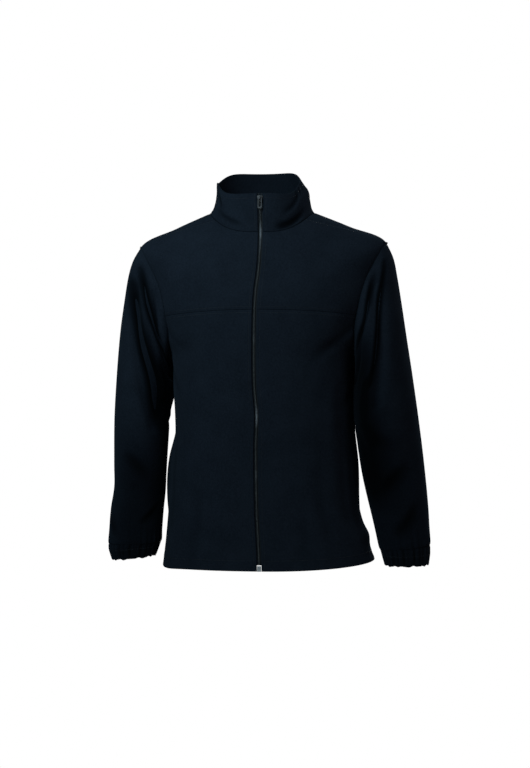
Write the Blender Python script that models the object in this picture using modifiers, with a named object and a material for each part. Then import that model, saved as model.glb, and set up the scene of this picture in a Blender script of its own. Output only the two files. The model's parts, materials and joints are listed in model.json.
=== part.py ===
"""Full-zip fleece jacket, standing out as if worn, with nobody inside it.

Metres, +Z up. The jacket faces -Y, the wearer's left is +X. The origin lies midway between the two
points where the neck seam crosses the top of the shoulders.

The body and the collar are surfaces through rings. A point on them has an angle, 0 at the centre front,
+90 at the wearer's left side, -90 at the right side and 180 at the centre back, and a station, which
runs from 0 at the neck seam to 1 at the hem of the body or at the rim of the collar. Each cut piece is a
wall between two grids of such points. A sleeve is a loft from its armhole to the wrist.
"""

from collections import namedtuple
from math import asin, copysign, cos, degrees, exp, hypot, pi, radians, sin, sqrt

import bmesh
import bpy
from mathutils import Matrix, Vector

# ---------------------------------------------------------------- driving sizes
CLOTH = 0.0024  # fleece, one layer
COLLAR_CLOTH = 0.0036  # two layers sewn together
POCKET_CLOTH = 0.0012
SEAM_GAP = 0.0003

SHOULDER_TIP = 0.16  # body stations
ARMPIT = 0.42
ARMHOLE_STEPS = 13
CHEST_SEAM_STEP = 7
ARMHOLE_FRONT_REACH_RIGHT = 31.0  # degrees that an armhole cuts into its front
ARMHOLE_FRONT_REACH_LEFT = 29.6
ARMHOLE_BACK_REACH = 33.0
ARMHOLE_SKEW = 0.8  # below 1 the armhole is widest above its middle
SHOULDER_SEAM_AT_NECK = 60.0  # the shoulder seam lies forward of the ridge
SHOULDER_SEAM_AT_TIP = 86.0
SIDE_SEAM = 90.0

YOKE_STATIONS = (0.0, 0.03, 0.06, 0.09, 0.125)  # rows above the shoulder tip
SKIRT_STATIONS = (0.455, 0.50, 0.56, 0.61, 0.65, 0.69, 0.73, 0.77, 0.81, 0.85, 0.90, 0.95, 0.984, 1.0)
FRONT_COLUMNS = 12
BACK_COLUMNS = 26

POCKET_TOP = 0.63  # body stations of the pocket mouth in the side seam
POCKET_BOTTOM = 0.84
POCKET_MOUTH_REACH = 17.0  # degrees of the front that lift at the mouth
POCKET_BAG_STATIONS = SKIRT_STATIONS[2:11]
POCKET_BAG_FIRST_COLUMN = 6  # of the front's columns, the last one lying at the side seam
POCKET_BAG_DROP = 0.0005  # clear of the front's inner face

CUFF_GATHERS = 13
CUFF_GATHER_HEIGHT = 0.0014
CUFF_COLUMNS_PER_SLEEVE_COLUMN = 2

ZIP_HALF_OPENING = 0.0044
ZIP_WANDER_REACH = 0.055
TAPE_HALF_WIDTH = 0.014
TAPE_HALF_WIDTH_AT_COLLAR = 0.0039
TAPE_NARROWS = 0.05  # body station above which the tape fits between the collar's edges
TAPE_DEPTH = 0.0030
TAPE_CLOTH = 0.0010
COIL_HALF_WIDTH = 0.0025
COIL_DEPTH = 0.0008
COIL_HEIGHT = 0.0019

SLIDER_STATION = 0.846  # collar station of the slider's middle
SLIDER_LENGTH = 0.0120
SLIDER_TOP_WIDTH = 0.0108
SLIDER_FOOT_WIDTH = 0.0072
SLIDER_PLATE = 0.0013
SLIDER_PROUD = 0.0004  # the face plate's clearance over the cloth
SLIDER_BACK_DEPTH = 0.0045
SLIDER_POST_WIDTH = 0.0020
SLIDER_POST_LENGTH = 0.0042
CROWN_WIDTH = 0.0022
CROWN_LENGTH = 0.0076
CROWN_INSIDE = 0.0030
CROWN_BAR = 0.0011
CROWN_SEGMENTS = 10

PULL_LENGTH = 0.0205
PULL_WIDTH = 0.0080
PULL_SLOT_WIDTH = 0.0040
PULL_SLOT_LENGTH = 0.0150
PULL_THICKNESS = 0.0013
PULL_EYE_BAR = 0.0015
PULL_CORNER_SEGMENTS = 5

BOX_WIDTH = 0.0074
BOX_HEIGHT = 0.0100
BOX_THICKNESS = 0.0032
BOX_PROUD = 0.0006
BOX_BEVEL = 0.0006

# ---------------------------------------------------------------- tables
Ring = namedtuple(
    "Ring",
    "station z_front z_right z_left z_back half_width_right half_width_left depth_front depth_back"
    " roundness lift_right lift_left",
)

# From z_front and z_back a ring passes to its side heights as a power of the sine, its lift.
BODY_RINGS = (
    Ring(0.00, -0.045, 0.001, 0.001, 0.020, 0.102, 0.101, 0.092, 0.075, 2.00, 3.0, 3.0),  # neck seam
    Ring(0.08, -0.092, -0.028, -0.027, -0.040, 0.168, 0.170, 0.112, 0.098, 1.94, 2.2, 2.2),
    Ring(0.16, -0.135, -0.064, -0.059, -0.095, 0.238, 0.240, 0.125, 0.116, 1.92, 2.0, 2.0),  # shoulder tip
    Ring(0.22, -0.162, -0.126, -0.123, -0.138, 0.229, 0.231, 0.133, 0.124, 2.02, 2.0, 2.0),
    Ring(0.30, -0.190, -0.200, -0.199, -0.190, 0.209, 0.211, 0.138, 0.129, 2.18, 2.0, 2.0),  # chest
    Ring(0.36, -0.230, -0.245, -0.245, -0.235, 0.190, 0.193, 0.140, 0.130, 2.28, 2.0, 2.0),
    Ring(0.42, -0.270, -0.277, -0.277, -0.275, 0.175, 0.1790, 0.140, 0.128, 2.32, 2.0, 2.0),  # armpit
    Ring(0.52, -0.340, -0.345, -0.345, -0.345, 0.1715, 0.1788, 0.138, 0.122, 2.30, 2.0, 2.0),
    Ring(0.58, -0.385, -0.387, -0.387, -0.388, 0.1690, 0.1786, 0.1365, 0.1200, 2.30, 2.0, 2.0),
    Ring(0.64, -0.430, -0.431, -0.430, -0.433, 0.1685, 0.1792, 0.1350, 0.1185, 2.30, 2.0, 2.0),
    Ring(0.70, -0.474, -0.475, -0.473, -0.479, 0.1742, 0.1810, 0.134, 0.118, 2.30, 2.0, 2.0),  # waist
    Ring(0.82, -0.560, -0.562, -0.558, -0.565, 0.181, 0.186, 0.134, 0.122, 2.30, 2.0, 2.0),
    Ring(0.93, -0.625, -0.630, -0.624, -0.632, 0.187, 0.203, 0.136, 0.127, 2.30, 2.0, 2.0),
    Ring(1.00, -0.675, -0.677, -0.667, -0.680, 0.193, 0.216, 0.138, 0.130, 2.30, 2.0, 2.0),  # hem
)

COLLAR_RINGS = (
    Ring(0.00, -0.045, 0.001, 0.001, 0.020, 0.102, 0.101, 0.092, 0.075, 2.00, 3.0, 3.0),  # neck seam
    Ring(0.15, -0.034, 0.011, 0.010, 0.030, 0.0970, 0.0960, 0.0905, 0.073, 2.05, 3.4, 3.6),
    Ring(0.55, -0.004, 0.037, 0.038, 0.060, 0.0895, 0.0880, 0.0880, 0.070, 2.10, 4.8, 5.6),
    Ring(1.00, 0.029, 0.061, 0.064, 0.0875, 0.0885, 0.0755, 0.0850, 0.067, 2.10, 6.0, 8.0),  # rim
)

Tube = namedtuple(
    "Tube", "station outer_x outer_z inner_x inner_z front_y back_y inner_lean roundness"
)

# The inner lean is how far the sleeve's inner line lies ahead of its outer one.
SLEEVE_RIGHT = (
    Tube(0.00, 0.238, -0.064, 0.175, -0.277, -0.078, 0.080, 0.000, 2.0),  # armhole
    Tube(0.05, 0.253, -0.090, 0.177, -0.286, -0.079, 0.081, 0.000, 2.1),
    Tube(0.11, 0.262, -0.122, 0.1765, -0.298, -0.084, 0.081, -0.009, 2.1),
    Tube(0.19, 0.269, -0.170, 0.1740, -0.316, -0.086, 0.080, -0.018, 2.1),
    Tube(0.30, 0.277, -0.238, 0.1735, -0.345, -0.085, 0.078, -0.018, 2.1),
    Tube(0.42, 0.283, -0.310, 0.1815, -0.385, -0.081, 0.075, -0.006, 2.1),
    Tube(0.56, 0.288, -0.396, 0.184, -0.438, -0.076, 0.070, 0.004, 2.1),  # elbow
    Tube(0.70, 0.288, -0.484, 0.187, -0.500, -0.074, 0.059, 0.004, 2.1),
    Tube(0.78, 0.287, -0.528, 0.1885, -0.538, -0.075, 0.049, 0.000, 2.1),
    Tube(0.86, 0.2925, -0.572, 0.191, -0.576, -0.077, 0.034, 0.000, 2.1),
    Tube(1.00, 0.295, -0.636, 0.193, -0.632, -0.078, 0.010, 0.000, 2.1),  # cuff seam
)

SLEEVE_LEFT = (
    Tube(0.00, 0.240, -0.059, 0.179, -0.277, -0.078, 0.080, 0.000, 2.0),  # armhole
    Tube(0.05, 0.253, -0.088, 0.1800, -0.286, -0.085, 0.081, 0.004, 2.1),
    Tube(0.11, 0.260, -0.121, 0.1795, -0.299, -0.088, 0.083, 0.012, 2.1),
    Tube(0.19, 0.268, -0.170, 0.1790, -0.318, -0.088, 0.084, 0.020, 2.1),
    Tube(0.30, 0.278, -0.238, 0.1780, -0.348, -0.083, 0.083, 0.030, 2.1),
    Tube(0.42, 0.289, -0.310, 0.1785, -0.388, -0.079, 0.078, 0.036, 2.1),
    Tube(0.56, 0.301, -0.396, 0.184, -0.444, -0.076, 0.070, 0.030, 2.1),  # elbow
    Tube(0.70, 0.311, -0.478, 0.194, -0.508, -0.074, 0.059, 0.012, 2.1),
    Tube(0.86, 0.319, -0.566, 0.212, -0.584, -0.077, 0.034, 0.004, 2.1),
    Tube(1.00, 0.3215, -0.634, 0.227, -0.644, -0.078, 0.010, 0.000, 2.1),  # cuff seam
)

CUFF_RIGHT = (
    Tube(0.00, 0.295, -0.636, 0.193, -0.632, -0.078, 0.010, 0.000, 2.1),
    Tube(0.30, 0.294, -0.646, 0.197, -0.640, -0.076, 0.006, 0.000, 2.1),
    Tube(1.00, 0.288, -0.668, 0.203, -0.659, -0.070, 0.001, 0.000, 2.1),
)

CUFF_LEFT = (
    Tube(0.00, 0.3215, -0.634, 0.227, -0.644, -0.078, 0.010, 0.000, 2.1),
    Tube(0.30, 0.3210, -0.646, 0.231, -0.653, -0.076, 0.006, 0.000, 2.1),
    Tube(1.00, 0.3190, -0.672, 0.236, -0.674, -0.070, 0.001, 0.000, 2.1),
)

SLEEVE_STATIONS = (
    0.0, 0.02, 0.05, 0.09, 0.13, 0.18, 0.23, 0.28, 0.33, 0.39,
    0.45, 0.51, 0.57, 0.63, 0.69, 0.75, 0.81, 0.87, 0.94, 1.0,
)  # fmt: skip
COLLAR_STATIONS = (0.0, 0.12, 0.28, 0.45, 0.61, 0.77, 1.0)
CUFF_STATIONS = (0.0, 0.25, 0.5, 0.78, 1.0)
ARMHOLE_EASE = 0.28  # sleeve station where the armhole's own shape has faded out

Fold = namedtuple("Fold", "angle_from station_from angle_to station_to width depth_from depth_to")

# A positive depth is a trough and a negative one a ridge.
BODY_FOLDS = (
    Fold(56, 0.33, 38, 0.44, 0.020, 0.004, 0.001),  # hollow below the left armhole
    Fold(-58, 0.34, -44, 0.43, 0.016, 0.002, 0.001),
    Fold(58, 0.52, 62, 0.86, 0.015, 0.003, 0.002),  # soft upright trough on the left front
    Fold(47, 0.54, 50, 0.84, 0.014, -0.002, -0.001),
    Fold(130, 0.36, 150, 0.50, 0.022, 0.004, 0.001),  # from the armholes across the back
    Fold(-130, 0.37, -148, 0.49, 0.020, 0.003, 0.001),
    Fold(118, 0.55, 128, 0.90, 0.020, 0.004, 0.003),
    Fold(-122, 0.58, -118, 0.92, 0.018, 0.003, 0.003),
    Fold(158, 0.60, 154, 0.96, 0.020, 0.003, 0.004),
    Fold(-160, 0.56, -166, 0.95, 0.022, 0.003, 0.004),
)
BODY_UNROLLED = (0.0028, 0.66)  # metres for one degree and for the whole length

SLEEVE_RIGHT_FOLDS = (
    Fold(80, 0.03, 158, 0.21, 0.012, 0.006, 0.004),  # beside the armhole seam
    Fold(44, 0.10, 126, 0.52, 0.013, 0.008, 0.004),  # long one to the inner elbow
    Fold(64, 0.08, 140, 0.36, 0.008, -0.003, -0.002),
    Fold(92, 0.78, 120, 0.90, 0.014, 0.003, 0.001),
    Fold(250, 0.12, 215, 0.40, 0.014, 0.006, 0.003),
    Fold(300, 0.16, 240, 0.52, 0.014, 0.005, 0.003),
    Fold(235, 0.58, 280, 0.66, 0.012, 0.003, 0.002),
)
SLEEVE_LEFT_FOLDS = (
    Fold(62, 0.06, 104, 0.44, 0.012, 0.006, 0.004),  # upright, in the front of the sleeve
    Fold(96, 0.05, 160, 0.22, 0.012, 0.005, 0.004),
    Fold(120, 0.20, 132, 0.46, 0.010, -0.003, -0.002),
    Fold(150, 0.52, 128, 0.72, 0.014, 0.003, 0.002),
    Fold(248, 0.10, 218, 0.38, 0.014, 0.005, 0.003),
    Fold(298, 0.14, 244, 0.50, 0.014, 0.006, 0.003),
    Fold(240, 0.60, 284, 0.67, 0.012, 0.003, 0.002),
)
SLEEVE_UNROLLED = (0.00105, 0.56)

PocketMouth = namedtuple("PocketMouth", "side name stand_out")
POCKET_MOUTHS = (
    PocketMouth(-1, "pocket_right", 0.0085),
    PocketMouth(1, "pocket_left", 0.0050),
)

ZipWander = namedtuple("ZipWander", "z x")
ZIP_WANDER = (
    ZipWander(-0.680, 0.0050),
    ZipWander(-0.640, 0.0040),
    ZipWander(-0.560, 0.0000),
    ZipWander(-0.450, -0.0015),
    ZipWander(-0.385, 0.0000),
    ZipWander(-0.330, -0.0040),
    ZipWander(-0.220, -0.0042),
    ZipWander(-0.160, -0.0020),
    ZipWander(-0.110, 0.0030),
    ZipWander(-0.060, 0.0040),
    ZipWander(0.030, 0.0020),
)

Finish = namedtuple("Finish", "name colour roughness metallic")
FLEECE = Finish("navy_fleece", (0.0075, 0.0120, 0.0200), 0.95, 0.0)
TAPE = Finish("zip_tape_weave", (0.0080, 0.0110, 0.0160), 0.85, 0.0)
COIL = Finish("zip_coil_nylon", (0.0300, 0.0360, 0.0440), 0.45, 0.0)
SLIDER_METAL = Finish("slider_enamel", (0.0550, 0.0600, 0.0700), 0.40, 0.80)
BOX_METAL = Finish("bright_metal", (0.6200, 0.6300, 0.6500), 0.30, 1.00)


# ---------------------------------------------------------------- tables and curves
def row_at(rows, place):
    """A table's row at any place in its first column, on a smooth curve through the rows."""
    last = len(rows) - 1
    low = 0
    while low < last - 1 and place > rows[low + 1][0]:
        low += 1
    four = [rows[max(low - 1, 0)], rows[low], rows[low + 1], rows[min(low + 2, last)]]
    span = four[2][0] - four[1][0]
    u = (place - four[1][0]) / span
    values = []
    for before, here, there, after in zip(*four):
        slope_here = (there - before) / (four[2][0] - four[0][0]) * span
        slope_there = (after - here) / (four[3][0] - four[1][0]) * span
        rise = there - here
        values.append(
            here
            + u * slope_here
            + u * u * (3.0 * rise - 2.0 * slope_here - slope_there)
            + u**3 * (slope_here + slope_there - 2.0 * rise)
        )
    return type(rows[0])(*values)


def bow(value, roundness):
    """A sine or cosine, squared off by a roundness above 2."""
    return copysign(abs(value) ** (2.0 / roundness), value)


def smooth_step(value):
    value = min(max(value, 0.0), 1.0)
    return value * value * (3.0 - 2.0 * value)


def relief(folds, unrolled, angle, station):
    """How far folds move a point out. Widths and distances are measured on the unrolled cloth."""
    height = 0.0
    across, along = angle * unrolled[0], station * unrolled[1]
    for fold in folds:
        x0, y0 = fold.angle_from * unrolled[0], fold.station_from * unrolled[1]
        x1, y1 = fold.angle_to * unrolled[0], fold.station_to * unrolled[1]
        run_x, run_y = x1 - x0, y1 - y0
        share = ((across - x0) * run_x + (along - y0) * run_y) / (run_x**2 + run_y**2)
        share = min(max(share, 0.0), 1.0)
        distance = hypot(across - x0 - share * run_x, along - y0 - share * run_y)
        depth = fold.depth_from + (fold.depth_to - fold.depth_from) * share
        height -= depth * exp(-((distance / fold.width) ** 2))
    return height


# ---------------------------------------------------------------- the body and collar surfaces
def ring_point(rings, angle, station):
    ring = row_at(rings, station)
    across, forward = sin(radians(angle)), cos(radians(angle))
    half_width = ring.half_width_left if across > 0.0 else ring.half_width_right
    depth = ring.depth_front if forward > 0.0 else ring.depth_back
    z_middle = ring.z_front if forward > 0.0 else ring.z_back
    z_side = ring.z_left if across > 0.0 else ring.z_right
    lift = ring.lift_left if across > 0.0 else ring.lift_right
    point = Vector(
        (
            half_width * bow(across, ring.roundness),
            -depth * bow(forward, ring.roundness),
            z_middle + (z_side - z_middle) * abs(across) ** lift,
        )
    )
    if forward > 0.0:
        fade = exp(-((point.x / ZIP_WANDER_REACH) ** 2)) * forward**2
        point.x += row_at(ZIP_WANDER, point.z).x * fade
    return point


def plain_normal(rings, angle, station):
    """The outward normal of a ring surface, from its slopes."""
    turn, step = 0.6, 0.006
    low, high = max(station - step, 0.0), min(station + step, 1.0)
    down = ring_point(rings, angle, high) - ring_point(rings, angle, low)
    around = ring_point(rings, angle + turn, station) - ring_point(rings, angle - turn, station)
    normal = down.cross(around) if rings is BODY_RINGS else around.cross(down)
    return normal.normalized()


def body_point(angle, station):
    angle = (angle + 180.0) % 360.0 - 180.0
    point = ring_point(BODY_RINGS, angle, station)
    height = relief(BODY_FOLDS, BODY_UNROLLED, angle, station)
    return point + height * plain_normal(BODY_RINGS, angle, station)


def body_normal(angle, station):
    turn, step = 1.2, 0.012
    low, high = max(station - step, 0.0), min(station + step, 1.0)
    down = body_point(angle, high) - body_point(angle, low)
    around = body_point(angle + turn, station) - body_point(angle - turn, station)
    return down.cross(around).normalized()


def half_gap_angle(angle, station):
    """Half a seam's gap as an angle around the body."""
    return 0.5 * SEAM_GAP / (body_point(angle + 0.5, station) - body_point(angle - 0.5, station)).length


def half_gap_station(angle, station):
    step = 0.004
    return 0.5 * SEAM_GAP * 2.0 * step / (
        body_point(angle, station + step) - body_point(angle, station - step)
    ).length


def armhole_angle(station, reach):
    """Angle of the armhole seam, ahead of the side for a negative reach and behind it for a positive one."""
    share = (station - SHOULDER_TIP) / (ARMPIT - SHOULDER_TIP)
    middle = SHOULDER_SEAM_AT_TIP + (SIDE_SEAM - SHOULDER_SEAM_AT_TIP) * share
    return middle + reach * sqrt(max(0.0, 1.0 - (2.0 * share**ARMHOLE_SKEW - 1.0) ** 2))


def front_reach(side):
    return -ARMHOLE_FRONT_REACH_LEFT if side > 0 else -ARMHOLE_FRONT_REACH_RIGHT


def outer_edge(station, reach):
    """Angle of a front's or back's outer edge: shoulder seam, armhole, then side seam."""
    if station < SHOULDER_TIP:
        share = station / SHOULDER_TIP
        return SHOULDER_SEAM_AT_NECK + (SHOULDER_SEAM_AT_TIP - SHOULDER_SEAM_AT_NECK) * share
    if station < ARMPIT:
        return armhole_angle(station, reach)
    return SIDE_SEAM


def zip_edge(rings, station):
    """Angle at which a surface is half the zip opening away from the centre line."""
    ring = row_at(rings, station)
    return degrees(asin((ZIP_HALF_OPENING / ring.half_width_left) ** (ring.roundness / 2.0)))


ARMHOLE_STATIONS = [
    SHOULDER_TIP + (ARMPIT - SHOULDER_TIP) * 0.5 * (1.0 - cos(pi * step / ARMHOLE_STEPS))
    for step in range(ARMHOLE_STEPS + 1)
]
CHEST_SEAM = ARMHOLE_STATIONS[CHEST_SEAM_STEP]


# ---------------------------------------------------------------- seams between unlike pieces
Join = namedtuple("Join", "body_point body_normal other_point other_normal")


def join_at(point, tangent, outward, hole_centre, other_run, other_normal):
    """Where two walls meet at one point of a seam: each drawn back by half the gap, and mitred on a ridge."""
    into_body = tangent.cross(outward).normalized()
    if into_body.dot(point - hole_centre) < 0.0:
        into_body.negate()
    apart = (other_run - into_body + 0.5 * outward).normalized() * (0.5 * SEAM_GAP)
    if other_run.dot(outward) < 0.0:
        shared = (outward + other_normal).normalized()
        body_side = shared / max(shared.dot(outward), 0.7)
        other_side = shared / max(shared.dot(other_normal), 0.7)
    else:
        body_side, other_side = outward, other_normal
    return Join(point - apart, body_side, point + apart, other_side)


def armhole_seam(side):
    """Body angles and stations from the shoulder tip down the front and up the back."""
    front = [(side * armhole_angle(s, front_reach(side)), s) for s in ARMHOLE_STATIONS]
    back = [(side * armhole_angle(s, ARMHOLE_BACK_REACH), s) for s in ARMHOLE_STATIONS]
    return front + back[-2:0:-1]


def neck_angles():
    """Angles of every column at the neck seam, from the zip around the wearer's left to the zip again."""
    start, seam = zip_edge(BODY_RINGS, 0.0), SHOULDER_SEAM_AT_NECK
    front = [start + (seam - start) * column / FRONT_COLUMNS for column in range(FRONT_COLUMNS + 1)]
    back = [
        seam + (360.0 - 2.0 * seam) * column / BACK_COLUMNS for column in range(1, BACK_COLUMNS)
    ]
    return front + back + [360.0 - angle for angle in reversed(front)]


def neck_joins():
    joins = []
    centre = Vector((0.0, 0.0, 0.0))
    for angle in neck_angles():
        point = body_point(angle, 0.0)
        tangent = body_point(angle + 0.5, 0.0) - body_point(angle - 0.5, 0.0)
        run = ring_point(COLLAR_RINGS, angle, 0.05) - ring_point(COLLAR_RINGS, angle, 0.0)
        joins.append(
            join_at(
                point,
                tangent,
                body_normal(angle, 0.0),
                centre,
                run.normalized(),
                plain_normal(COLLAR_RINGS, angle, 0.02),
            )
        )
    return joins


# ---------------------------------------------------------------- sleeves
def tube_point(rows, side, angle, station):
    """A point of a sleeve: angle 0 is its outer line, 90 its front and 180 its inner line."""
    row = row_at(rows, station)
    outer = Vector((side * row.outer_x, 0.0, row.outer_z))
    inner = Vector((side * row.inner_x, 0.0, row.inner_z))
    along = bow(cos(radians(angle)), row.roundness)
    forward = bow(sin(radians(angle)), row.roundness)
    point = 0.5 * (outer + inner) + 0.5 * along * (outer - inner)
    middle = 0.5 * (row.front_y + row.back_y) - 0.5 * (1.0 - along) * row.inner_lean
    point.y = middle - 0.5 * forward * (row.back_y - row.front_y)
    return point


def column_angles(points):
    """Angles around a sleeve for the points of its armhole, by distance along each half."""
    half = len(points) // 2
    closed = points + points[:1]
    angles = []
    for start in (0, half):
        lengths = [(closed[start + i + 1] - closed[start + i]).length for i in range(half)]
        walked = 0.0
        for length in lengths:
            angles.append(180.0 * (start // half) + 180.0 * walked / sum(lengths))
            walked += length
    return angles


def sleeve_grid(side, rows, folds):
    """The sleeve's outer points, one ring for each station, and the angle of each column."""
    seam = [body_point(angle, station) for angle, station in armhole_seam(side)]
    angles = column_angles(seam)
    own_shape = [point - tube_point(rows, side, a, 0.0) for point, a in zip(seam, angles)]
    grid = []
    for station in SLEEVE_STATIONS:
        fade = smooth_step(1.0 - station / ARMHOLE_EASE)
        ring = [tube_point(rows, side, a, station) + fade * own for a, own in zip(angles, own_shape)]
        grid.append(ring)
    outward = grid_normals(grid, side, True)
    for ring, normals, station in zip(grid, outward, SLEEVE_STATIONS):
        calm = smooth_step(station / 0.04)
        for column, angle in enumerate(angles):
            ring[column] += normals[column] * calm * relief(folds, SLEEVE_UNROLLED, angle, station)
    return grid, angles


def grid_normals(grid, side, closed):
    """Outward normals of a sleeve's or cuff's grid, whose rings run forward from the outer line."""
    count = len(grid[0])
    normals = []
    for row, ring in enumerate(grid):
        above, below = grid[max(row - 1, 0)], grid[min(row + 1, len(grid) - 1)]
        line = []
        for column in range(count):
            after = (column + 1) % count if closed else min(column + 1, count - 1)
            before = column - 1 if closed else max(column - 1, 0)
            down = below[column] - above[column]
            around = ring[after] - ring[before]
            line.append((-side * down.cross(around)).normalized())
        normals.append(line)
    return normals


# ---------------------------------------------------------------- objects
def make_collection(name):
    collection = bpy.data.collections.new(name)
    bpy.context.scene.collection.children.link(collection)
    return collection


def material_of(finish):
    material = bpy.data.materials.get(finish.name)
    if material is None:
        material = bpy.data.materials.new(finish.name)
        material.use_nodes = True
        shader = material.node_tree.nodes["Principled BSDF"]
        shader.inputs["Base Color"].default_value = (*finish.colour, 1.0)
        shader.inputs["Roughness"].default_value = finish.roughness
        shader.inputs["Metallic"].default_value = finish.metallic
    return material


def add_object(name, mesh, finish, collection):
    mesh.materials.append(material_of(finish))
    item = bpy.data.objects.new(name, mesh)
    collection.objects.link(item)
    return item


def mesh_from(name, vertices, faces):
    """A mesh whose faces all point out of the solid."""
    mesh = bpy.data.meshes.new(name)
    mesh.from_pydata([tuple(vertex) for vertex in vertices], [], faces)
    work = bmesh.new()
    work.from_mesh(mesh)
    bmesh.ops.recalc_face_normals(work, faces=work.faces)
    if work.calc_volume(signed=True) < 0.0:
        bmesh.ops.reverse_faces(work, faces=work.faces)
    work.to_mesh(mesh)
    work.free()
    return mesh


def add_wall(name, outer, normals, thickness, finish, collection, closed=False):
    """A cloth wall: a grid of outer points, the same grid moved in along its normals, and its rims.

    Both grids are split on the same diagonals, so the wall stays even where the cloth twists.
    """
    rows, columns = len(outer), len(outer[0])
    inner = [
        [point - normal * thickness for point, normal in zip(points, directions)]
        for points, directions in zip(outer, normals)
    ]
    layer = rows * columns

    def corner(side, row, column):
        return side * layer + row * columns + column % columns

    faces = []
    spans = columns if closed else columns - 1
    for row in range(rows - 1):
        for column in range(spans):
            here, below = (row, column), (row + 1, column)
            across, beside = (row + 1, column + 1), (row, column + 1)
            for triangle in ((here, below, across), (here, across, beside)):
                faces.append([corner(0, r, c) for r, c in triangle])
                faces.append([corner(1, r, c) for r, c in reversed(triangle)])
    for row in (0, rows - 1):
        for column in range(spans):
            ends = (corner(0, row, column), corner(0, row, column + 1))
            faces.append([*ends, corner(1, row, column + 1), corner(1, row, column)])
    if not closed:
        for column in (0, columns - 1):
            for row in range(rows - 1):
                ends = (corner(0, row, column), corner(0, row + 1, column))
                faces.append([*ends, corner(1, row + 1, column), corner(1, row, column)])
    vertices = [point for layer_points in (outer, inner) for points in layer_points for point in points]
    item = add_object(name, mesh_from(name, vertices, faces), finish, collection)
    for polygon in item.data.polygons:
        polygon.use_smooth = True
    item.data.set_sharp_from_angle(angle=radians(50.0))
    return item


def add_bar(name, sections, finish, collection):
    """A closed bar through four-cornered sections."""
    vertices = [corner for section in sections for corner in section]
    count = len(sections)
    faces = [[0, 1, 2, 3], [4 * count - 4 + i for i in (3, 2, 1, 0)]]
    for row in range(count - 1):
        for i in range(4):
            j = (i + 1) % 4
            faces.append([4 * row + i, 4 * row + j, 4 * row + 4 + j, 4 * row + 4 + i])
    return add_object(name, mesh_from(name, vertices, faces), finish, collection)


# ---------------------------------------------------------------- cut pieces of the body
def even_angles(start, end, columns):
    return [start + (end - start) * column / columns for column in range(columns + 1)]


def front_angles(side, station):
    """Angles of a front's columns, from the zip to its outer edge."""
    outer = side * outer_edge(station, front_reach(side))
    if not SHOULDER_TIP < station < ARMPIT:
        outer -= side * half_gap_angle(outer, station)
    return even_angles(side * zip_edge(BODY_RINGS, station), outer, FRONT_COLUMNS)


def back_angles(station):
    """Angles of the back's columns, from the wearer's left to the right."""
    left = outer_edge(station, ARMHOLE_BACK_REACH)
    if not SHOULDER_TIP < station < ARMPIT:
        left += half_gap_angle(left, station)
    return even_angles(left, 360.0 - left, BACK_COLUMNS)


def panel(stations, angles_at, place):
    """Grids of points and normals, a row for each station."""
    points, normals = [], []
    for station in stations:
        angles = angles_at(station)
        points.append([place(angle, station) for angle in angles])
        normals.append([body_normal(angle, station) for angle in angles])
    return points, normals


def mouth_lift(mouth, angle, station):
    """How far the front's edge stands out at a pocket mouth."""
    along = (station - POCKET_TOP) / (POCKET_BOTTOM - POCKET_TOP)
    if not 0.0 < along < 1.0:
        return 0.0
    near = 1.0 - (SIDE_SEAM - abs(angle)) / POCKET_MOUTH_REACH
    return mouth.stand_out * sin(pi * along) ** 0.8 * smooth_step(near)


def set_join(points, normals, row, column, join, corner_point=None):
    """Put a body vertex where its seam says. A corner keeps the gap to the piece beside it as well."""
    if corner_point is None:
        points[row][column] = join.body_point
    else:
        seam_middle = 0.5 * (join.body_point + join.other_point)
        points[row][column] = corner_point + join.body_point - seam_middle
    normals[row][column] = join.body_normal


def front_panel(name, side, stations, mouth, joins, collection):
    """One front, above or below the chest seam, as given by its first and last station."""

    def place(angle, station):
        lift = mouth_lift(mouth, angle, station)
        return body_point(angle, station) + lift * body_normal(angle, station)

    rows = list(stations)
    if rows[0] > 0.0:
        rows[0] += half_gap_station(0.0, rows[0])
    if rows[-1] < 1.0:
        rows[-1] -= half_gap_station(0.0, rows[-1])
    points, normals = panel(rows, lambda station: front_angles(side, station), place)
    for row, station in enumerate(stations):
        if station in ARMHOLE_STATIONS:
            step = ARMHOLE_STATIONS.index(station)
            at_end = step in (0, CHEST_SEAM_STEP, ARMHOLE_STEPS)
            corner = points[row][-1] if at_end else None
            set_join(points, normals, row, -1, joins["armhole"][side][step], corner)
    if stations[0] == 0.0:
        neck = joins["neck"] if side > 0 else joins["neck"][::-1]
        for column in range(FRONT_COLUMNS + 1):
            set_join(points, normals, 0, column, neck[column], points[0][column])
    return add_wall(name, points, normals, CLOTH, FLEECE, collection)


def back_panel(joins, collection):
    stations = list(YOKE_STATIONS) + ARMHOLE_STATIONS + list(SKIRT_STATIONS)
    points, normals = panel(stations, back_angles, body_point)
    for step, station in enumerate(ARMHOLE_STATIONS):
        row = len(YOKE_STATIONS) + step
        for column, side in ((0, 1), (-1, -1)):
            at_end = step in (0, ARMHOLE_STEPS)
            corner = points[row][column] if at_end else None
            set_join(points, normals, row, column, joins["armhole"][side][-step], corner)
    for column in range(BACK_COLUMNS + 1):
        join = joins["neck"][FRONT_COLUMNS + column]
        set_join(points, normals, 0, column, join, points[0][column])
    return add_wall("back", points, normals, CLOTH, FLEECE, collection)


def collar(joins, collection):
    angles = neck_angles()
    points, normals = [], []
    for station in COLLAR_STATIONS:
        edge = zip_edge(COLLAR_RINGS, station)
        line = [min(max(angle, edge), 360.0 - edge) for angle in angles]
        points.append([ring_point(COLLAR_RINGS, angle, station) for angle in line])
        normals.append([plain_normal(COLLAR_RINGS, angle, station) for angle in line])
    for column, join in enumerate(joins["neck"]):
        points[0][column] = join.other_point
        normals[0][column] = join.other_normal
    return add_wall("collar", points, normals, COLLAR_CLOTH, FLEECE, collection)


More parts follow.
